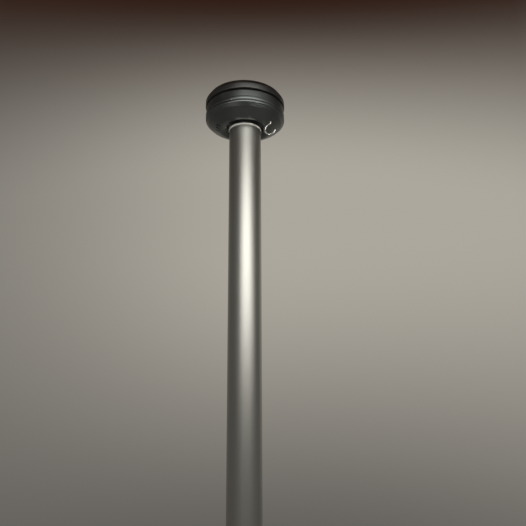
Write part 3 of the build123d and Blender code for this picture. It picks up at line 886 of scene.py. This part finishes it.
collar = lathe("revolving_collar", collar_outline, collar_plastic)
run_tree(collar, pockets, collar_plastic, count=NOTCH_COUNT, pitch=NOTCH_PITCH, bearing=0.0,
         radius=notch_radius, length=notch_length, width=notch_width, corner=notch_corner,
         roof=notch_roof, depth=notch_roof - below_crest)
run_tree(collar, pockets, collar_plastic, count=SLOT_COUNT, pitch=SLOT_PITCH,
         bearing=SLOT_BEARING - SLOT_PITCH, radius=slot_radius, length=slot_length,
         width=slot_width, corner=slot_width / 2, roof=slot_roof, depth=slot_roof - below_crest)
run_tree(collar, pockets, collar_plastic, count=1, pitch=0.0, bearing=HOOK_BEARING,
         radius=hook_radius, length=2 * hole_radius, width=2 * hole_radius,
         corner=hole_radius, roof=hook_level + shank_depth, depth=2 * shank_depth)

# %% [markdown]
# Inside, eight ribs run from the hub to the wall and stiffen the thin bowl, and a boss
# round the hook's hole gives the wire something to sit in. They are moulded with the
# bowl, so they join its mesh. The lid has six ribs of the same kind.

# %% Ribs and boss
RIB_BITE = 1.5 * MM           # how far a rib reaches into the wall
COLLAR_RIBS = 8
rib_thickness = 2.5 * MM
rib_drop = 9.0 * MM           # from the gap down to the ribs' top
BOSS_STEPS = 48
boss_radius = 5.5 * MM
boss_roof = 2.0 * MM          # from the end of the hole up to the boss's top


def add_ribs(bm, hollow, count):
    """Blades from hub to wall, evenly spaced, with a hollow's outline."""
    outline = [Vector(corner[:2]) for corner in hollow]
    for bearing in around(count):
        blade(bm, outline, rib_thickness, bearing)


def join_into(piece, bm):
    """Add a bmesh to a piece's mesh, as part of the same moulding."""
    bmesh.ops.recalc_face_normals(bm, faces=bm.faces)
    bm.from_mesh(piece.data)
    bm.to_mesh(piece.data)
    bm.free()
    shade(piece.data)


def disc_ring(centre, radius, level, steps):
    """A level circle of points."""
    return [(centre[0] + radius * cos(a), centre[1] + radius * sin(a), level)
            for a in around(steps)]


hook_root = (hook_radius * cos(HOOK_BEARING), hook_radius * sin(HOOK_BEARING))
boss_bottom = hook_level + collar_wall / 2
boss_top = hook_level + shank_depth + boss_roof

stiffening = bmesh.new()
add_ribs(stiffening, collar_hollow(collar_wall - RIB_BITE, gap_level - rib_drop), COLLAR_RIBS)
skin(stiffening, [disc_ring(hook_root, radius, level, BOSS_STEPS) for radius, level in (
    (boss_radius, boss_bottom), (boss_radius, boss_top),
    (hole_radius, boss_top), (hole_radius, boss_bottom))], ends="joined")
join_into(collar, stiffening)
place(collar, "revolving_head", "head_collar")

# %% [markdown]
# ## The hook
#
# The hook is one length of 3 mm wire bent on a former: a straight shank that goes up
# into the collar, a bend, a short slant, and a wide round eye of more than half a turn
# that stops short of closing, so that a flag's ring can be slipped in. The path
# is written the way it is bent: so far straight, then so many degrees round a radius.

# %% Bending a wire
BEND_STEP = 5.0               # degrees between rings in a bend
END_STEPS = 4
WIRE_STEPS = 28


def bent_path(start, heading, moves):
    """Points and headings in a plane; a move is (length, 0) or (radius, degrees)."""
    point, path = Vector(start), [(Vector(start), heading)]
    for size, bend in moves:
        steps = max(1, round(abs(bend) / BEND_STEP))
        half = radians(bend) / steps / 2
        stride = 2 * size * sin(abs(half)) if bend else size
        for _ in range(steps):
            point = point + stride * Vector((cos(heading + half), sin(heading + half)))
            heading += 2 * half
            path.append((point, heading))
    return path


def rounded_off(path, radius, soft):
    """Stations (point, heading, radius) of a bar whose two ends are rounded off."""
    leans = [pi / 2 * step / END_STEPS for step in range(END_STEPS + 1)]
    ends = [(radius - soft * (1 - sin(lean)), soft * (1 - cos(lean))) for lean in leans]
    (start, first), (end, last) = path[0], path[-1]
    opening = [(start + back * Vector((cos(first), sin(first))), first, r) for r, back in ends]
    closing = [(end - back * Vector((cos(last), sin(last))), last, r) for r, back in ends]
    return opening + [(p, h, radius) for p, h in path[1:-1]] + closing[::-1]


def bent_wire(name, path, origin, bearing, radius, soft, material):
    """A wire that follows a flat path in the upright plane through origin at a bearing."""
    along, across = directions(bearing)
    rings = []
    for point, heading, r in rounded_off(path, radius, soft):
        centre = origin + along * point.x + Vector((0, 0, point.y))
        side = along * -sin(heading) + Vector((0, 0, cos(heading)))
        rings.append([centre + (side * cos(a) + across * sin(a)) * r
                      for a in around(WIRE_STEPS)])
    return skinned(name, rings, material)


# %% Flag hook
HOOK_TURN = radians(-15.0)
wire_end = 0.6 * MM
hook_moves = [
    (shank_depth + 1.4 * MM, 0),          # shank
    (2.4 * MM, -60.0),                    # bend
    (5.0 * MM, 0),                        # slant
    (9.6 * MM, 223.0),                    # eye
    (1.0 * MM, 0),                        # tip
]
hook_path = bent_path((0, shank_depth), -pi / 2, hook_moves)
hook = bent_wire("flag_hook_wire", hook_path, Vector((*hook_root, hook_level)), HOOK_TURN,
                 wire_radius, wire_end, stainless_wire)
place(hook, "revolving_head", "flag_hook")

# %% [markdown]
# ## The lid
#
# The lid is a shallow cap with the same edge all round: a straight side, a broad bevel,
# and a crown that rises gently to the middle, where a screw sits in a round pocket. It
# is a shell like the collar, with a hub on the axis and ribs inside. The crown is a
# true curve here, so rain would run off it and light slides over it evenly.

# %% Lid
lid_radius = reach("head_lid")
lid_wall = 4.5 * MM
lid_side_top = lid_bottom + 9.4 * MM
bevel_width = 5.8 * MM
bevel_height = 8.4 * MM
lid_bevel_top = lid_side_top + bevel_height
lid_top_radius = lid_radius - bevel_width
BEVEL_ANGLE = degrees(atan2(bevel_height, bevel_width))
lid_hub_radius = 18.0 * MM
lid_hub_bottom = levels("upper_washer")[1] + axial_play
crown_rise = 3.4 * MM
crown_spare = 0.05 * MM       # the crown stays this far under the CAD node's top
crown_top = levels("head_lid")[1] - crown_spare
CROWN_STEPS = 14
pocket_radius = 12.0 * MM
pocket_depth = 5.6 * MM
pocket_edge = 0.4 * MM
screw_bore = 4.3 * MM
screw_seat = lid_bevel_top + crown_rise - pocket_depth


def crown_level(radius):
    """Level of the lid's crown: a shallow parabola from bevel to pocket."""
    fall = (crown_top - lid_bevel_top) / (lid_top_radius ** 2 - pocket_radius ** 2)
    return lid_bevel_top + fall * (lid_top_radius ** 2 - radius ** 2)


def lid_hollow(wall, floor):
    """Corners of the hollow under the lid, from the rim in to the hub."""
    rim = inset((lid_radius, lid_side_top), 90, BEVEL_ANGLE, wall, up=-1)
    knee = inset((lid_top_radius, lid_bevel_top), BEVEL_ANGLE, 0, wall, up=-1)
    hub = lid_hub_radius - (lid_wall - wall)
    return [(rim[0], floor, 0), (*rim, 0), (*knee, 0), (hub, knee[1], 0), (hub, floor, 0)]


crown_span = lid_top_radius - pocket_radius
crown_radii = [pocket_radius + crown_span * step / CROWN_STEPS for step in range(CROWN_STEPS)]
lid_crown = [(r, crown_level(r), pocket_edge if r == pocket_radius else 0) for r in crown_radii]
lid_hub = [(lid_hub_radius, lid_hub_bottom, 0), (screw_bore, lid_hub_bottom, 0)]
lid_pocket = [(screw_bore, screw_seat, 0), (pocket_radius, screw_seat, 0.5 * MM)]
lid_edge = [(lid_top_radius, lid_bevel_top, 2.5 * MM), (lid_radius, lid_side_top, 3.2 * MM),
            (lid_radius, lid_bottom, 0.4 * MM)]
lid_outline = rounded(lid_hollow(lid_wall, lid_bottom)[:-1] + lid_hub + lid_pocket
                      + lid_crown + lid_edge)
lid = lathe("crowned_lid", lid_outline, lid_plastic)

LID_RIBS = 6
lid_rib_bottom = hub_top + 5.3 * MM
lid_ribs = bmesh.new()
add_ribs(lid_ribs, lid_hollow(lid_wall - RIB_BITE, lid_rib_bottom), LID_RIBS)
join_into(lid, lid_ribs)
place(lid, "mast", "head_lid")

# %% [markdown]
# ## Screws and nuts
#
# A hexagon head is a prism whose corners are turned off by a cone, which leaves the
# curved line that runs round every real bolt head. Each ring of points follows either
# a circle or the hexagon, and the cone lowers a point the further out it lies.

# %% Hexagon shapes
HEX_STEPS = 72
CONE_SLOPE = tan(radians(30))
CONE_START = 0.97             # of the way from a hexagon's axis to its flats
THREAD_STEPS = 8              # rings in one turn of a thread
GROOVE_REACH = 0.375          # of the pitch, from a groove's middle to a full crest
GROOVE_SLOPE = 4              # how steeply its flanks fall, by depths in a pitch


def round_ring(radius, level):
    """A circle, in a screw's own frame: its axis is Z."""
    return [Vector((radius * cos(a), radius * sin(a), level)) for a in around(HEX_STEPS)]


def hex_ring(flats, level, cone=0):
    """A hexagon; cone is 1 where the level drops at the corners, -1 where it rises."""
    ring = []
    for a in around(HEX_STEPS):
        radius = flats / 2 / cos(a % (pi / 3) - pi / 6)
        drop = max(0, radius - flats / 2 * CONE_START) * CONE_SLOPE * cone
        ring.append(Vector((radius * cos(a), radius * sin(a), level - drop)))
    return ring


def thread_rings(radius, depth, pitch, start, end):
    """Rings of a rod whose radius follows one helix."""
    rings, level = [], start
    while level <= end:
        ring = []
        for a in around(HEX_STEPS):
            turn = (level / pitch - a / (2 * pi)) % 1
            r = radius - depth * min(1, max(0, (GROOVE_REACH - abs(turn - 0.5)) * GROOVE_SLOPE))
            ring.append(Vector((r * cos(a), r * sin(a), level)))
        rings.append(ring)
        level += pitch / THREAD_STEPS
    return rings


# %% [markdown]
# Three clamp screws hold the pole in its sleeve. Each runs through a nut welded to the
# sleeve, points at the axis, and stands off the nut a little, so its thread shows.

# %% Clamp nuts and screws
CLAMPS = 3
FIRST_CLAMP = 90.0            # bearing in degrees
flats = 17.0 * MM
thread_radius = 5.0 * MM
thread_pitch = 1.5 * MM
thread_depth = 0.8 * MM
thread_fit = 0.05 * MM
nut_height = 9.0 * MM
nut_root = 1.5 * MM           # how far a nut reaches into the sleeve's wall
countersink = 0.5 * MM
head_height = 6.5 * MM
face_height = 0.4 * MM        # the round face under a screw's head
sleeve_radius = reach("base_sleeve")
nut_bottom = sleeve_radius - nut_root
nut_top = sleeve_radius + nut_height
head_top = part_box("clamp_screw_1")[1].y
head_start = head_top - head_height
screw_tip = tube_radius + slide_fit
face_radius = flats / 2 * 0.95
chamfer_radius = flats / 2 * CONE_START


def clamp_frame(index):
    """From a screw's own frame to its place: Z points out from the pole's axis."""
    out, _ = directions(radians(FIRST_CLAMP + 360 / CLAMPS * index))
    up = Vector((0, 0, 1))
    level = sum(levels(f"clamp_screw_{index + 1}")) / 2
    turn_to = Matrix((up, out.cross(up), out)).transposed().to_4x4()
    return Matrix.Translation((0, 0, level)) @ turn_to


def moved(rings, matrix):
    """Rings of points carried to another frame."""
    return [[matrix @ point for point in ring] for ring in rings]


nut_rings = [
    hex_ring(flats, nut_bottom),
    hex_ring(flats, nut_top, cone=1),
    round_ring(chamfer_radius, nut_top),
    round_ring(thread_radius + countersink, nut_top),
    round_ring(thread_radius, nut_top - countersink),
    round_ring(thread_radius, nut_bottom),
]
screw_rings = thread_rings(thread_radius - thread_fit, thread_depth, thread_pitch,
                           screw_tip, head_start) + [
    round_ring(thread_radius - thread_depth, head_start),
    round_ring(face_radius, head_start),
    round_ring(face_radius, head_start + face_height),
    hex_ring(flats, head_start + face_height, cone=-1),
    hex_ring(flats, head_top, cone=1),
    round_ring(chamfer_radius, head_top),
]
for index in range(CLAMPS):
    to_clamp = clamp_frame(index)
    for name, rings, ends, material in (
            ("clamp_nut", nut_rings, "joined", galvanised_steel),
            ("clamp_screw", screw_rings, "capped", stainless_screw)):
        node = f"{name}_{index + 1}"
        place(skinned(f"turned_{node}", moved(rings, to_clamp), material, ends), "mast", node)

# %% [markdown]
# The lid's screw has a low bevelled head with a hexagon socket. Its socket is the same
# hexagon ring, let down into the head, with a cone at its bottom as a drill leaves.

# %% Lid screw
lid_screw_bottom, lid_screw_top = levels("lid_screw")
lid_screw_head = 9.0 * MM
lid_screw_shank = 4.0 * MM
shank_point = 0.8 * MM
socket_flats = 6.0 * MM
socket_depth = 2.6 * MM
socket_lead = 0.3 * MM
drill_depth = 1.2 * MM
head_bevel = 2.4 * MM
head_edge = 0.2 * MM
bevel_bottom = lid_screw_top - head_bevel
bevel_top_radius = lid_screw_head - head_bevel
lid_screw_rings = [
    round_ring(lid_screw_shank - shank_point, lid_screw_bottom),
    round_ring(lid_screw_shank, lid_screw_bottom + shank_point),
    round_ring(lid_screw_shank, screw_seat),
    round_ring(lid_screw_head - head_edge, screw_seat),
    round_ring(lid_screw_head, screw_seat + head_edge),
    round_ring(lid_screw_head, bevel_bottom - head_edge),
    round_ring(lid_screw_head - head_edge / 2, bevel_bottom),
    round_ring(bevel_top_radius, lid_screw_top - head_edge / 4),
    round_ring(bevel_top_radius - head_edge, lid_screw_top),
    round_ring(socket_flats / 2 * 1.2, lid_screw_top),
    hex_ring(socket_flats, lid_screw_top - socket_lead),
    hex_ring(socket_flats, lid_screw_top - socket_depth),
    round_ring(0.3 * MM, lid_screw_top - socket_depth - drill_depth),
]
place(skinned("socket_lid_screw", lid_screw_rings, stainless_screw), "mast", "lid_screw")

# %% [markdown]
# ## The foot
#
# The sleeve and its plastic ring are turned like the tubes, with a soft lead-in at the
# mouth. The four gussets are blades cut from plate, with their edges ground off, and
# the plate itself comes straight from the CAD.

# %% Sleeve and ring
sleeve_top = levels("base_sleeve")[1]
sleeve_bore = sleeve_radius - 3.0 * MM
pipe("round_base_sleeve", "base_sleeve", sleeve_bore, 0.8 * MM, galvanised_steel)

ring_bottom, ring_top = levels("centring_ring")
ring_bore = tube_radius + slide_fit
ring_body = sleeve_bore - slide_fit
ring_flange = reach("centring_ring")
ring_outline = rounded([
    (ring_bore, ring_bottom, 0.3 * MM), (ring_body, ring_bottom, 0.3 * MM),
    (ring_body, sleeve_top, 0), (ring_flange, sleeve_top, 0.4 * MM),
    (ring_flange, ring_top, 1.2 * MM), (ring_bore, ring_top, 1.6 * MM),
])
place(lathe("moulded_centring_ring", ring_outline, grey_plastic), "mast", "centring_ring")

# %% Gussets
GUSSETS = 4
gusset_thickness = 6.0 * MM
gusset_toe = 12.0 * MM
gusset_edge = 0.5 * MM
plate_top = levels("base_plate")[1]
gusset_reach, gusset_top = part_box("base_gusset_1")[1].x, levels("base_gusset_1")[1]
weld_fit = 0.05 * MM
gusset_foot = sleeve_radius + weld_fit
gusset_outline = [Vector(point) for point in (
    (gusset_foot, plate_top), (gusset_reach, plate_top), (gusset_reach, plate_top + gusset_toe),
    (gusset_foot + gusset_toe, gusset_top), (gusset_foot, gusset_top))]
for index, bearing in enumerate(around(GUSSETS)):
    bm = bmesh.new()
    blade(bm, gusset_outline, gusset_thickness, bearing)
    bmesh.ops.bevel(bm, geom=bm.edges[:], offset=gusset_edge, segments=2, affect="EDGES")
    node = f"base_gusset_{index + 1}"
    place(finished(f"ground_{node}", bm, galvanised_steel), "mast", node)

# %% [markdown]
# The foot is welded up before it is galvanised, so its seams are part of how it looks.
# A weld bead is a row of frozen ripples. A Geometry Nodes tree walks along each seam,
# lets the bead's width swell and pinch once a ripple, roughens it with a seeded noise,
# and sweeps a circle along it. The seams are only edges: one round the sleeve, one on
# each side of each gusset's two legs, and one round each nut.

# %% Weld beads
WELD_SIZES = ("Bead radius", "Ripple pitch", "Ripple depth", "Unevenness", "Seed")
BEAD_SIDES = 10
STEPS_A_RIPPLE = 4.0
LEAST_SIZE = 0.8              # of the bead's radius, between two ripples
PITS_SCALE = 260.0


def build_weld_bead():
    """Sweep rippled beads along the edges of a mesh."""
    tree, given, out = new_shaper("weld_bead", dict.fromkeys(WELD_SIZES, "Float"))
    edges = add_node(tree, "GeometryNodeMeshToCurve", {0: given["Geometry"]})
    stride = calc(tree, "DIVIDE", given["Ripple pitch"], STEPS_A_RIPPLE)
    walk = add_node(tree, "GeometryNodeResampleCurve", {"Curve": edges, "Length": stride},
                    mode="LENGTH")

    travelled = add_node(tree, "GeometryNodeSplineParameter", {}).outputs["Length"]
    turns = calc(tree, "DIVIDE", travelled, given["Ripple pitch"])
    ripple = calc(tree, "ABSOLUTE", calc(tree, "SINE", calc(tree, "MULTIPLY", turns, pi)))
    pits = add_node(tree, "ShaderNodeTexNoise", {
        "W": given["Seed"], "Scale": PITS_SCALE, "Detail": 2.0}, noise_dimensions="4D")
    uneven = calc(tree, "MULTIPLY", pits, given["Unevenness"])
    swell = calc(tree, "ADD", calc(tree, "MULTIPLY", ripple, given["Ripple depth"]), uneven)
    size = calc(tree, "MULTIPLY", calc(tree, "ADD", swell, LEAST_SIZE), given["Bead radius"])

    circle = add_node(tree, "GeometryNodeCurvePrimitiveCircle", {
        "Resolution": BEAD_SIDES, "Radius": 1.0})
    bead = add_node(tree, "GeometryNodeCurveToMesh", {
        "Curve": walk, "Profile Curve": circle, "Scale": size, "Fill Caps": True})
    hand_out(tree, given, out, bead)
    return tree


weld_bead = build_weld_bead()
print("tree:", weld_bead.name)

# %% Seams of the foot
SLEEVE_SEAM_STEPS = 180
seam_stop = 1.0 * MM          # a seam ends this far short of a gusset's tip


def seam(bm, points, closed=False):
    """A run of bare edges."""
    verts = [bm.verts.new(point) for point in points]
    for first, second in zip(verts, verts[1:]):
        bm.edges.new((first, second))
    if closed:
        bm.edges.new((verts[-1], verts[0]))


def at_level(point, level):
    """The point above or below another, at a level."""
    return Vector((point.x, point.y, level))


seams = bmesh.new()
seam(seams, disc_ring((0, 0), sleeve_radius, plate_top, SLEEVE_SEAM_STEPS), closed=True)
for bearing in around(GUSSETS):
    out, across = directions(bearing)
    for side in (-1, 1):
        aside = across * side * gusset_thickness / 2
        near, far = out * gusset_foot + aside, out * (gusset_reach - seam_stop) + aside
        seam(seams, [at_level(near, plate_top), at_level(far, plate_top)])
        seam(seams, [at_level(near, plate_top), at_level(near, gusset_top - seam_stop)])
for index in range(CLAMPS):
    ring = [clamp_frame(index) @ point for point in hex_ring(flats, sleeve_radius)]
    seam(seams, [at_level(point.xy.normalized() * sleeve_radius, point.z) for point in ring],
         closed=True)

welds = finished("weld_beads", seams, galvanised_steel)
run_tree(welds, weld_bead, galvanised_steel, bead_radius=2.2 * MM, ripple_pitch=2.0 * MM,
         ripple_depth=0.22, unevenness=0.35, seed=3.0)
place(welds, "mast")

# %% [markdown]
# ## Finishes on the CAD pieces that stay
#
# The plate, the coupler inside the pole, the spindle and its two washers have the right
# shape already. Only their material changes.

# %% Carried-over pieces
for node, material in (("base_plate", galvanised_steel), ("joint_coupler", anodised_aluminium),
                       ("head_spindle", stainless_screw), ("lower_washer", bearing_plastic),
                       ("upper_washer", bearing_plastic)):
    for material_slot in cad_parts[node].material_slots:
        material_slot.material = material
    print(node, "->", material.name)

# %% [markdown]
# ## Stage and light
#
# Metal shows what stands round it, so the stage is part of how the tube looks. A plain
# round backdrop glows with a painted pool of light behind the pole. The painted light fades
# to the sides, so that the edges of the tube go dark against it, and sooner on the left
# than on the right. It fades towards the floor too, and a painted dark shade closes it on
# top. The shade would look like an arch on a round wall, so it comes down a little as the
# wall curves forward. Every ray sees the same backdrop, metal included.

# %% Backdrop
BACKDROP_RADIUS = 6.5
BACKDROP_HEIGHT = 13.0
BACKDROP_STEPS = 128
FLOOR_LEVEL = -0.2 * MM
POOL_TONE = (0.415, 0.39, 0.34)
DIM_TONE = (0.110, 0.104, 0.096)
ZENITH_TONE = (0.031, 0.014, 0.009)
POOL_HALF_ANGLE = radians(36)
DIM_HALF_ANGLE = radians(72)
LEFT_FADE = (-8.0, 0.5)       # across the stage, from dim to full
LOW_FADE = (-0.6, 5.2)        # up the wall, from dim to full
TOP_SHADE = (6.45, 10.4)      # up the wall, from full to dark
SHADE_SLOPE = 0.74            # how fast the shade comes down as the wall curves forward
SHADE_END = 5.0               # how far back the wall is where it stops coming down


def finish_backdrop():
    """A glowing backdrop with painted light: a pool behind the pole, dim to the sides, painted
    shade on top.
    """
    material = bpy.data.materials.new("backdrop")
    material.use_nodes = True
    tree = material.node_tree
    tree.nodes.remove(tree.nodes["Principled BSDF"])
    parts = add_node(tree, "ShaderNodeSeparateXYZ", {0: object_point(tree)})
    across, back, height = (parts.outputs[label] for label in "XYZ")

    def ease(value, start, end):
        """0 up to start and 1 from end on, with a soft passage between."""
        return remap(tree, value, start, end, passage="SMOOTHSTEP")

    behind = ease(back, BACKDROP_RADIUS * cos(DIM_HALF_ANGLE),
                  BACKDROP_RADIUS * cos(POOL_HALF_ANGLE))
    full = calc(tree, "MULTIPLY", ease(across, *LEFT_FADE), ease(height, *LOW_FADE))
    wall = mix_colour(tree, calc(tree, "MULTIPLY", behind, full), DIM_TONE, POOL_TONE)
    forward = calc(tree, "SUBTRACT", BACKDROP_RADIUS, calc(tree, "MAXIMUM", back, SHADE_END))
    level = calc(tree, "ADD", height, calc(tree, "MULTIPLY", forward, SHADE_SLOPE))
    glow = add_node(tree, "ShaderNodeEmission", {
        "Color": mix_colour(tree, ease(level, *TOP_SHADE), wall, ZENITH_TONE)})
    put(tree.nodes["Material Output"].inputs["Surface"], glow)
    return material


wall_rings = [disc_ring((0, 0), BACKDROP_RADIUS, level, BACKDROP_STEPS)
              for level in (FLOOR_LEVEL, BACKDROP_HEIGHT)]
backdrop = skinned("backdrop", wall_rings, finish_backdrop(), ends="open")

world = bpy.data.worlds.new("surroundings")
world.use_nodes = True
put(world.node_tree.nodes["Background"].inputs["Color"], ZENITH_TONE)
scene.world = world
print("backdrop:", BACKDROP_RADIUS, "m away,", BACKDROP_HEIGHT, "m high")

# %% [markdown]
# The floor is pale, matt and faintly mottled, like a concrete slab, and only there to
# take the shadow. It isn't part of the pole.

# %% Floor
FLOOR_TONE = (0.52, 0.50, 0.47)
FLOOR_MOTTLE = 1.06           # how much paler the palest patches are

floor_material, floor_tree, floor_shader = new_finish(
    "floor", metallic=0.0, roughness=0.95,
    **{"Emission Color": DIM_TONE, "Emission Strength": 0.2})
mottle = noise(floor_tree, scale=3.0, detail=5.0)
paler = tuple(channel * FLOOR_MOTTLE for channel in FLOOR_TONE)
put(floor_shader.inputs["Base Color"], mix_colour(floor_tree, mottle, FLOOR_TONE, paler))
floor_mesh = bmesh.new()
floor_mesh.faces.new([floor_mesh.verts.new(point) for point in wall_rings[0]])
floor = finished("floor", floor_mesh, floor_material)
print("floor at", FLOOR_LEVEL)

# %% [markdown]
# The light is what tells a satin tube from a painted one. Two wide, low panels stand
# behind the camera, a little above the head, the smaller one in front of the larger, so
# their reflection is bright down the middle of the tube and fades to both sides. On each
# side a narrow beam from below picks out the plug's bright rim and little else. A small
# panel on the right lifts that side of the head and tube. Two low lamps, one in front on
# the left and one behind on the right, light the foot.

# %% Lamps
WARM = (1.0, 0.985, 0.93)
WHITE = (1.0, 1.0, 1.0)
WIDE = radians(180)           # the spread of a lamp that isn't narrowed


def soft_lamp(name, size, power, spot, target, colour=WARM, spread=WIDE):
    """A rectangular area lamp that faces a target and doesn't show itself."""
    lamp = bpy.data.objects.new(name, bpy.data.lights.new(name, "AREA"))
    lamp.data.shape = "RECTANGLE"
    lamp.data.size, lamp.data.size_y = size
    lamp.data.energy = power
    lamp.data.color = colour
    lamp.data.spread = spread
    lamp.visible_camera = False
    aim = (Vector(target) - Vector(spot)).to_track_quat("-Z", "Y")
    lamp.matrix_world = Matrix.Translation(spot) @ aim.to_matrix().to_4x4()
    scene.collection.objects.link(lamp)
    print(f"{name}: {power} W")


head_aim = (0, 0, tube_top)
tube_aim = (0, 0, tube_top - 0.2)
foot_aim = (0, 0, 0.3)
panel_level = tube_top + 0.58
rim_level = tube_top - 1.1
soft_lamp("panel_core", (2.6, 1.4), 20, (0.56, -2.5, panel_level), head_aim)
soft_lamp("panel_edge", (5.0, 1.4), 28, (0.56, -2.6, panel_level), head_aim)
for name, side in (("rim_left", -1.3), ("rim_right", 1.3)):
    soft_lamp(name, (0.5, 0.4), 0.13, (side, -1.8, rim_level), head_aim, spread=radians(14))
soft_lamp("panel_right", (1.2, 1.0), 2.3, (2.2, -1.5, tube_top + 0.15), tube_aim)
for name, power, spot in (("low_left", 5, (-2.8, -3.3, 1.0)), ("low_right", 4, (3.3, 2.4, 1.0))):
    soft_lamp(name, (1.6, 0.9), power, spot, foot_aim, WHITE, radians(60))

scene.view_settings.view_transform = "Standard"
